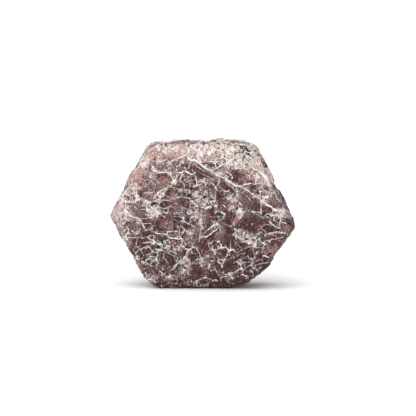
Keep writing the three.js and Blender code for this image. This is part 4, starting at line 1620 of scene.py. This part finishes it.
# %% Share of pale matrix
NEAR_VEIN = (0.2, 1.0, 0.1, 0.0)  # millimetres from, to, and matrix at each
MATRIX_CLOUD = (0.35, 0.65, -0.15, 0.4)  # noise from, to, and matrix at each
PALE_MATRIX, LIGHT_MATRIX, DEEP_AND_SHADE_MATRIX, CLEAN_MATRIX = 0.5, 0.12, -0.35, -0.5
CLEAN_CRUSHED, CLEAN_CRACKED = (-0.85, 1.0), (-0.6, 1.0)  # slope with clean grain, and start
matrix = n.total(
    n.product(pale_share, PALE_MATRIX),
    n.ramp(vein_distance, *NEAR_VEIN),
    n.ramp(medium, *MATRIX_CLOUD),
    n.product(deep_and_shade_share, DEEP_AND_SHADE_MATRIX),
    n.product(light_share, LIGHT_MATRIX),
    n.product(clean_share, CLEAN_MATRIX),
)
matrix = n.clamped(matrix)
crushed_share = n.line(clean_share, *CLEAN_CRUSHED)
cracked_share = n.line(clean_share, *CLEAN_CRACKED)
n.report("share of pale matrix")

# %% [markdown]
# ## Crushed grains
# Under a lens the skin is a mosaic of chips under a millimetre wide. Cell textures at two
# sizes give every chip random numbers of its own: some chips are white feldspar, more of
# them where there is matrix or cream, some are dark, and all differ in tone. The places are
# bent by noise first, so that the chips aren't straight-sided.

# %% Crushed grains
CHIP_SIZE, DUST_SIZE = 0.7, 0.4
BEND_SIZE, BEND = 0.7, 0.25
NOISE_MIDDLE = (0.5, 0.5, 0.5)
CREAM_CROWD, MATRIX_CROWD, WHITE_CROWD = 0.1, 0.17, 1.3
WHITE_CHIPS = (0.99, 1.05)  # random number from which a chip is white
DARK_CHIPS = (0.9, 0.97)

warp = n.noise(place, BEND_SIZE, output="Color")
warp = n.scaled(n.vector("SUBTRACT", warp, NOISE_MIDDLE), BEND)
bent = n.vector("ADD", place, warp)
chip_white_luck, chip_dark_luck, chip_tone = n.cells(bent, CHIP_SIZE)
dust_tone, dust_fleck, dust_white = n.cells(place, DUST_SIZE)
crowded = n.line(cream_share, CREAM_CROWD, n.product(matrix, MATRIX_CROWD))
chip_white = n.ramp(n.line(crowded, WHITE_CROWD, chip_white_luck), *WHITE_CHIPS)
chip_dark = n.ramp(n.total(chip_dark_luck, crowded), *DARK_CHIPS)
n.report("crushed grains")

# %% [markdown]
# ## The tone of the ruby
# One number, the tone, says how light the ruby itself is at each place: dust, chips, grains
# and clouds all add to it, and it picks between deep maroon, maroon and rose brown. Adding
# the causes up first and choosing a colour once keeps the colours clean, where mixing a
# colour for each cause would turn them grey.

# %% The tone of the ruby
DUST_TONE = (0.7, -0.36)  # slope and start
CALM_CLEAN = (-0.35, 1.0)
TINY_TONE = (0.42, 0.58, -0.2, 0.2)  # noise from, to, and tone at each
GRIT_TONE = (0.4, 0.6, -0.08, 0.08)
SMALL_TONE = (0.38, 0.62, 0.23, 0.39)
GRAIN_TONE, CHIP_TONE, LIGHT_TONE = 0.15, 0.2, 0.3
MATRIX_TONE = (0.3, 0.05)
MAROON_TONE, BROWN_TONE = (0.1, 0.6), (0.55, 1.15)

speckle = n.total(n.ramp(tiny, *TINY_TONE), n.line(dust_tone, *DUST_TONE))
tone = n.total(
    n.product(speckle, n.line(clean_share, *CALM_CLEAN)),
    n.ramp(grit, *GRIT_TONE),
    n.ramp(small, *SMALL_TONE),
    n.product(fine_tone, GRAIN_TONE),
    n.product(chip_tone, CHIP_TONE),
    n.line(matrix, *MATRIX_TONE),
    n.product(light_share, LIGHT_TONE),
)
ruby = n.mix(n.ramp(tone, *MAROON_TONE), DEEP_MAROON, MAROON)
ruby = n.mix(n.ramp(tone, *BROWN_TONE), ruby, ROSE_BROWN)
n.report("the tone of the ruby")

# %% [markdown]
# ## Tints, painted sheen and painted shade
# Over the ruby lie the tints of the patches. None covers fully: each is let through by a
# cloud, so that the grains still show. The deep patches darken the ruby, partly as painted
# shade towards the bottom, and the sheen and wear patches lighten it as painted sheen, partly
# pale wear. The order matters: the grey green stain lies on top of all of them.

# %% Tints, painted sheen and painted shade
DEEP_AND_SHADE_COVER = 0.3
DARK_CHIP_COVER = (0.3, 0.6)  # slope with cream, and start
DUST_MOTTLE = (0.28, -0.14)
mottle = n.total(tiny, n.line(dust_tone, *DUST_MOTTLE))
cream_in_sheen_and_wear = n.product(cream_share, sheen_and_wear_share)
TINTS = [
    (n.product(mauve_share, crushed_share), n.ramp(mottle, 0.4, 0.6, 0.05, 0.6), MAUVE),
    # partly painted sheen along the top band and the shoulders
    (pale_share, n.ramp(mottle, 0.44, 0.6, 0.0, 0.3), PALE_ROSE_GREY),
    (light_share, n.ramp(grit, 0.4, 0.6, 0.0, 0.35), PALE_ROSE_GREY),
    # partly painted shade towards the bottom and the lower right rim
    (deep_and_shade_share, DEEP_AND_SHADE_COVER, DEEP_MAROON),
    # painted sheen on the lit shoulders, partly pale wear
    (sheen_and_wear_share, n.ramp(mottle, 0.4, 0.58, 0.3, 0.92), SHEEN_AND_WEAR_TINT),
    (pink_share, n.ramp(mottle, 0.3, 0.7, 0.1, 0.7), PINK),
    # cream greyed where the painted sheen and wear lie
    (cream_in_sheen_and_wear, n.ramp(small, 0.4, 0.6, 0.15, 0.7), GREYED_CREAM),
    (chip_dark, n.line(cream_share, *DARK_CHIP_COVER), MAROON),
    (grey_share, n.ramp(small, 0.4, 0.6, 0.1, 0.7), GREY_GREEN),
]
for share, cloud_cover, tint in TINTS:
    ruby = n.mix(n.product(share, cloud_cover), ruby, tint)
print("tints over the ruby:", len(TINTS))

# %% [markdown]
# ## Healed cracks
# Every crack was filled with something pale. The drawn veins come from their arrows and are
# the whitest. The cracks round coarse and fine grains come from theirs, and are held back
# where the veins were drawn, so that they don't compete. Lace and mesh are finer cracks from
# cell textures, and flecks are single pale specks of dust. Uneven edges make all of them
# look torn and not drawn with a pen.

# %% Uneven edges
FRAY_MIDDLE, FRAY_AMOUNT = 0.47, 0.8
UNEVEN_MIDDLE, TINY_UNEVEN, SMALL_UNEVEN = 0.48, 2.2, 1.8
WIDTH_FRAY = (0.8, 0.06)  # slope with a line's half width, and start


def line_mask(way, reach, width, fray, softness):
    """Places the line group in the ruby's material with values of its own."""
    node = n.add("ShaderNodeGroup", node_tree=line_from_arrow)
    return n.feed(node, Way=n.arrow(way), Reach=reach, Width=width, Fray=fray,
                  Softness=softness).outputs["Mask"]


fray = n.product(n.math("SUBTRACT", tiny, FRAY_MIDDLE), FRAY_AMOUNT)
uneven = n.total(n.product(n.math("SUBTRACT", tiny, UNEVEN_MIDDLE), TINY_UNEVEN),
                 n.product(n.math("SUBTRACT", small, UNEVEN_MIDDLE), SMALL_UNEVEN))
n.report("uneven edges")

# %% Drawn veins
VEIN_SOFTNESS = 0.07
VEIN_CLOUD = (0.4, 0.6, 1.0, 0.75)  # noise from, to, and whiteness at each
VEIN_DUST = (0.05, 0.5, 0.76, 1.1)
vein_fray = n.product(uneven, n.line(vein_half, *WIDTH_FRAY))
drawn = n.clamped(n.product(
    line_mask("vein_way", vein_distance, vein_half, vein_fray, VEIN_SOFTNESS),
    n.product(vein_white, n.ramp(small, *VEIN_CLOUD)),
    n.ramp(dust_white, *VEIN_DUST),
))
n.report("drawn veins")

# %% Cracks round coarse and fine grains
CRACK_SOFTNESS = 0.06
COARSE_LUCK, FINE_LUCK = (0.1, 1.0, 0.0, 0.22), (0.1, 1.0, 0.0, 0.2)  # random, half width
COARSE_MATRIX, FINE_MATRIX = (0.0, 0.5, 0.4, 1.0), (0.0, 0.5, 0.2, 1.1)
COARSE_SEEN, FINE_SEEN = 0.35, 0.6  # share of their width left where veins are drawn
coarse_width = n.product(n.ramp(coarse_luck, *COARSE_LUCK), n.ramp(matrix, *COARSE_MATRIX),
                         n.ramp(seen_share, 0.0, 1.0, 1.0, COARSE_SEEN))
coarse_line = line_mask("coarse_way", coarse_distance, coarse_width, fray, CRACK_SOFTNESS)
fine_width = n.product(n.ramp(fine_luck, *FINE_LUCK), n.ramp(matrix, *FINE_MATRIX),
                       n.ramp(seen_share, 0.0, 1.0, 1.0, FINE_SEEN))
fine_line = line_mask("fine_way", fine_distance, fine_width, fray, CRACK_SOFTNESS)
n.report("cracks round coarse and fine grains")

# %% Lace, mesh and flecks
LACE_SIZE, MESH_SIZE = 2.1, 1.6
LACE_SOFTNESS, MESH_SOFTNESS = 0.03, 0.02  # in cell sizes
LACE_MATRIX, MESH_MATRIX = (0.1, 0.9, -0.04, 0.03), (0.1, 0.9, -0.07, 0.045)
LACE_CLOUD, MESH_CLOUD = (0.4, 0.6, -0.06, 0.06), (0.35, 0.65, -0.06, 0.06)
FLECK_MATRIX, FLECKS = 0.12, (0.93, 0.98)
lace_width = n.total(n.ramp(matrix, *LACE_MATRIX), n.ramp(small, *LACE_CLOUD))
lace = n.band(n.crackle(bent, LACE_SIZE), lace_width, LACE_SOFTNESS)
mesh_width = n.total(n.ramp(matrix, *MESH_MATRIX), n.ramp(tiny, *MESH_CLOUD))
mesh_line = n.band(n.crackle(bent, MESH_SIZE), mesh_width, MESH_SOFTNESS)
fleck = n.ramp(n.line(matrix, FLECK_MATRIX, dust_fleck), *FLECKS)
n.report("lace, mesh and flecks")

# %% [markdown]
# ## White over red
# At each place the strongest of all these cracks wins, because healed cracks don't add up to
# something whiter than white. Dust and grit then dull the fine ones, and the colour goes
# from pure white to cream where iron stained the feldspar.

# %% White over red
COARSE_SEEN_WHITE = (0.95, 0.7)  # whiteness out of view and in it
FINE_WHITE, LACE_WHITE, MESH_WHITE, CHIP_WHITE = 0.65, 0.6, 0.65, 0.65
FLECK_WHITE = (0.5, 0.25)  # slope with matrix, and start
WHITE_DUST = (0.05, 0.6, 0.45, 1.15)
WHITE_GRIT = (0.35, 0.55, 0.65, 1.0)
DEEP_AND_SHADE_DULL = (-0.3, 1.0)
BROAD_CREAM = (0.5, 0.7, 0.0, 0.35)
PATCH_CREAM = 0.65

fine_cracks = n.greatest(
    n.product(coarse_line, cracked_share, n.ramp(seen_share, 0.0, 1.0, *COARSE_SEEN_WHITE)),
    n.product(fine_line, cracked_share, FINE_WHITE),
    n.product(lace, crushed_share, LACE_WHITE),
    n.product(mesh_line, crushed_share, MESH_WHITE),
    n.product(chip_white, CHIP_WHITE),
    n.product(fleck, cracked_share, n.line(matrix, *FLECK_WHITE)),
)
fine_cracks = n.product(fine_cracks, n.ramp(dust_white, *WHITE_DUST))
# Veins are dulled in the deep patches, partly as painted shade towards the bottom.
whiteness = n.product(n.greatest(fine_cracks, drawn), n.ramp(grit, *WHITE_GRIT),
                      n.line(deep_and_shade_share, *DEEP_AND_SHADE_DULL))
vein_colour = n.mix(n.ramp(broad, *BROAD_CREAM), VEIN_WHITE, CREAM)
vein_colour = n.mix(n.product(cream_share, PATCH_CREAM), vein_colour, CREAM)
veined = n.mix(whiteness, ruby, vein_colour)
n.report("white over red")

# %% [markdown]
# ## Dark minerals
# Mica and amphibole come last, over ruby and veins alike. Out of the camera's view they are
# clouds with torn edges, in it they are the drawn streaks, hairs and spots.

# %% Dark minerals
SPECK_TEAR = (0.35, 0.65, -0.4, 0.4)  # noise from, to, and darkness at each
SPECK_EDGE = (0.4, 0.6)
DARK_SOFTNESS = 0.08
dark_fray = n.product(uneven, n.line(dark_half, *WIDTH_FRAY))
dark_line = line_mask("dark_way", dark_distance, dark_half, dark_fray, DARK_SOFTNESS)
speck = n.ramp(n.total(dark_share, n.ramp(tiny, *SPECK_TEAR)), *SPECK_EDGE)
speck = n.greatest(speck, n.product(dark_line, dark_depth))
skin_colour = n.mix(speck, veined, GREEN_BLACK)
n.report("dark minerals")

# %% [markdown]
# ## Gloss and fine bumps
# A dry broken stone has a dull waxy gloss, uneven from grain to grain, and the dark minerals
# in it are matt. The mesh carries all relief down to a third of a millimetre. What is finer
# only has to catch the light, so a Bump node does it, from the same clouds and cracks.

# %% Gloss and fine bumps
GLOSS_CLOUD = (0.3, 0.7, 0.34, 0.55)  # noise from, to, and roughness at each
SPECK_ROUGHNESS = 0.5
GLOSS = 0.25
TINY_BUMP, GRIT_BUMP, VEIN_BUMP = 0.6, 0.35, 0.25
BUMP_STRENGTH, BUMP_HEIGHT = 0.6, 0.25

height = n.total(n.product(tiny, TINY_BUMP), n.product(grit, GRIT_BUMP),
                 n.product(whiteness, VEIN_BUMP))
bump = n.feed(n.add("ShaderNodeBump"), Height=height, Strength=BUMP_STRENGTH,
              Distance=BUMP_HEIGHT / METRE)
rough = n.clamped(n.line(speck, SPECK_ROUGHNESS, n.ramp(medium, *GLOSS_CLOUD)))
shader = n.feed(n.add("ShaderNodeBsdfPrincipled"), Base_Color=skin_colour, Roughness=rough,
                Normal=bump.outputs["Normal"], Specular_IOR_Level=GLOSS)
n.feed(n.add("ShaderNodeOutputMaterial"), Surface=shader.outputs["BSDF"])
print("the ruby's material has", len(ruby_skin.node_tree.nodes), "nodes")

# %% [markdown]
# ## The stone takes its place
# The finished skin stands for the solid crystal, so it replaces that piece and rides on the
# same body. Its material goes into the part's one slot.

# %% The stone takes its place
stone.data.materials.append(ruby_skin)
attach(stone, "root")
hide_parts("ruby_crystal")
print("material slots on the stone:", [material.name for material in stone.data.materials])

# %% [markdown]
# ## A paper floor
# Specimens are shown on a sheet of matt paper. A large flat square does for it, with a
# grain so faint that it only takes away the look of plastic.

# %% A paper floor
FLOOR_HALF = 0.9  # metres
PAPER_ROUGHNESS, PAPER_GLOSS = 0.9, 0.1
PAPER_GRAIN = 1 / 900  # metres
PAPER_GREYS = (0.86, 0.86, 0.86, 1), (0.9, 0.9, 0.9, 1)

paper = bpy.data.materials.new("pale_paper")
paper.use_nodes = True
sheet = Nodes(paper.node_tree)
paper_grain = sheet.noise(sheet.add("ShaderNodeTexCoord").outputs["Object"], PAPER_GRAIN)
sheet.feed(paper.node_tree.nodes["Principled BSDF"], Roughness=PAPER_ROUGHNESS,
           Specular_IOR_Level=PAPER_GLOSS, Base_Color=sheet.mix(paper_grain, *PAPER_GREYS))
corners = [(x * FLOOR_HALF, y * FLOOR_HALF, 0) for x, y in ((-1, -1), (1, -1), (1, 1), (-1, 1))]
floor_mesh = bpy.data.meshes.new("floor")
floor_mesh.from_pydata(corners, [], [(0, 1, 2, 3)])
floor_mesh.materials.append(paper)
floor = bpy.data.objects.new("floor", floor_mesh)
bpy.context.collection.objects.link(floor)
print("the floor is", 2 * FLOOR_HALF, "m wide")

# %% [markdown]
# ## Soft light
# A specimen is best lit from above and a little in front, by a light so wide that shadows
# have no edge. A sun lamp that spans a large angle does this evenly over the whole stone,
# where an area lamp would fall off from top to bottom. A weak soft box on the left opens up
# the shaded side.

# %% Soft light
OVERHEAD_FROM = (-0.15, -0.42, 1.0)
OVERHEAD_STRENGTH = 2.85
OVERHEAD_SPREAD = 80.0  # degrees across
FILL_PLACE, FILL_AIM = (-0.5, -0.35, 0.25), (0, 0, 0.025)  # metres
FILL_SIZE, FILL_POWER = 0.35, 0.3


def place_looking(name, data, place, backwards):
    """A lamp or camera at a place, turned so that its back points the given way."""
    holder = bpy.data.objects.new(name, data)
    holder.location = place
    holder.rotation_mode = "QUATERNION"
    holder.rotation_quaternion = Vector(backwards).to_track_quat("Z", "Y")
    bpy.context.collection.objects.link(holder)
    return holder


overhead = bpy.data.lights.new("overhead", "SUN")
overhead.energy, overhead.angle = OVERHEAD_STRENGTH, math.radians(OVERHEAD_SPREAD)
place_looking("overhead", overhead, (0, 0, 0), OVERHEAD_FROM)
fill = bpy.data.lights.new("left_fill", "AREA")
fill.energy, fill.size = FILL_POWER, FILL_SIZE
place_looking("left_fill", fill, FILL_PLACE, Vector(FILL_PLACE) - Vector(FILL_AIM))
print("overhead light spans", OVERHEAD_SPREAD, "degrees")

# %% [markdown]
# ## Room and backdrop
# The backdrop is pure white, but a room as bright as that would wash the stone out. The
# Light Path node tells rays that come straight from the camera from all the others, so the
# camera sees white while the stone is lit by a dimmer room.

# %% Room and backdrop
ROOM_LIGHT = 0.58
world = bpy.data.worlds.new("studio")
bpy.context.scene.world = world
world.use_nodes = True
room = Nodes(world.node_tree)
seen_by_camera = room.add("ShaderNodeLightPath").outputs["Is Camera Ray"]
room.feed(world.node_tree.nodes["Background"], Color=(1, 1, 1, 1),
          Strength=room.ramp(seen_by_camera, 0.0, 1.0, ROOM_LIGHT, 1.0))
bpy.context.scene.view_settings.view_transform = "Standard"
print("the room gives", ROOM_LIGHT, "of the backdrop's light")

# %% [markdown]
# ## The camera
# The camera takes the place that the drawn marks were worked out for at the start.

# %% The camera
camera = bpy.data.cameras.new("camera")
camera.lens, camera.sensor_width = LENS, SENSOR
bpy.context.scene.camera = place_looking("camera", camera, eye / METRE, towards_viewer)
print("camera stands", round(float(np.linalg.norm(eye)), 1), "mm away")
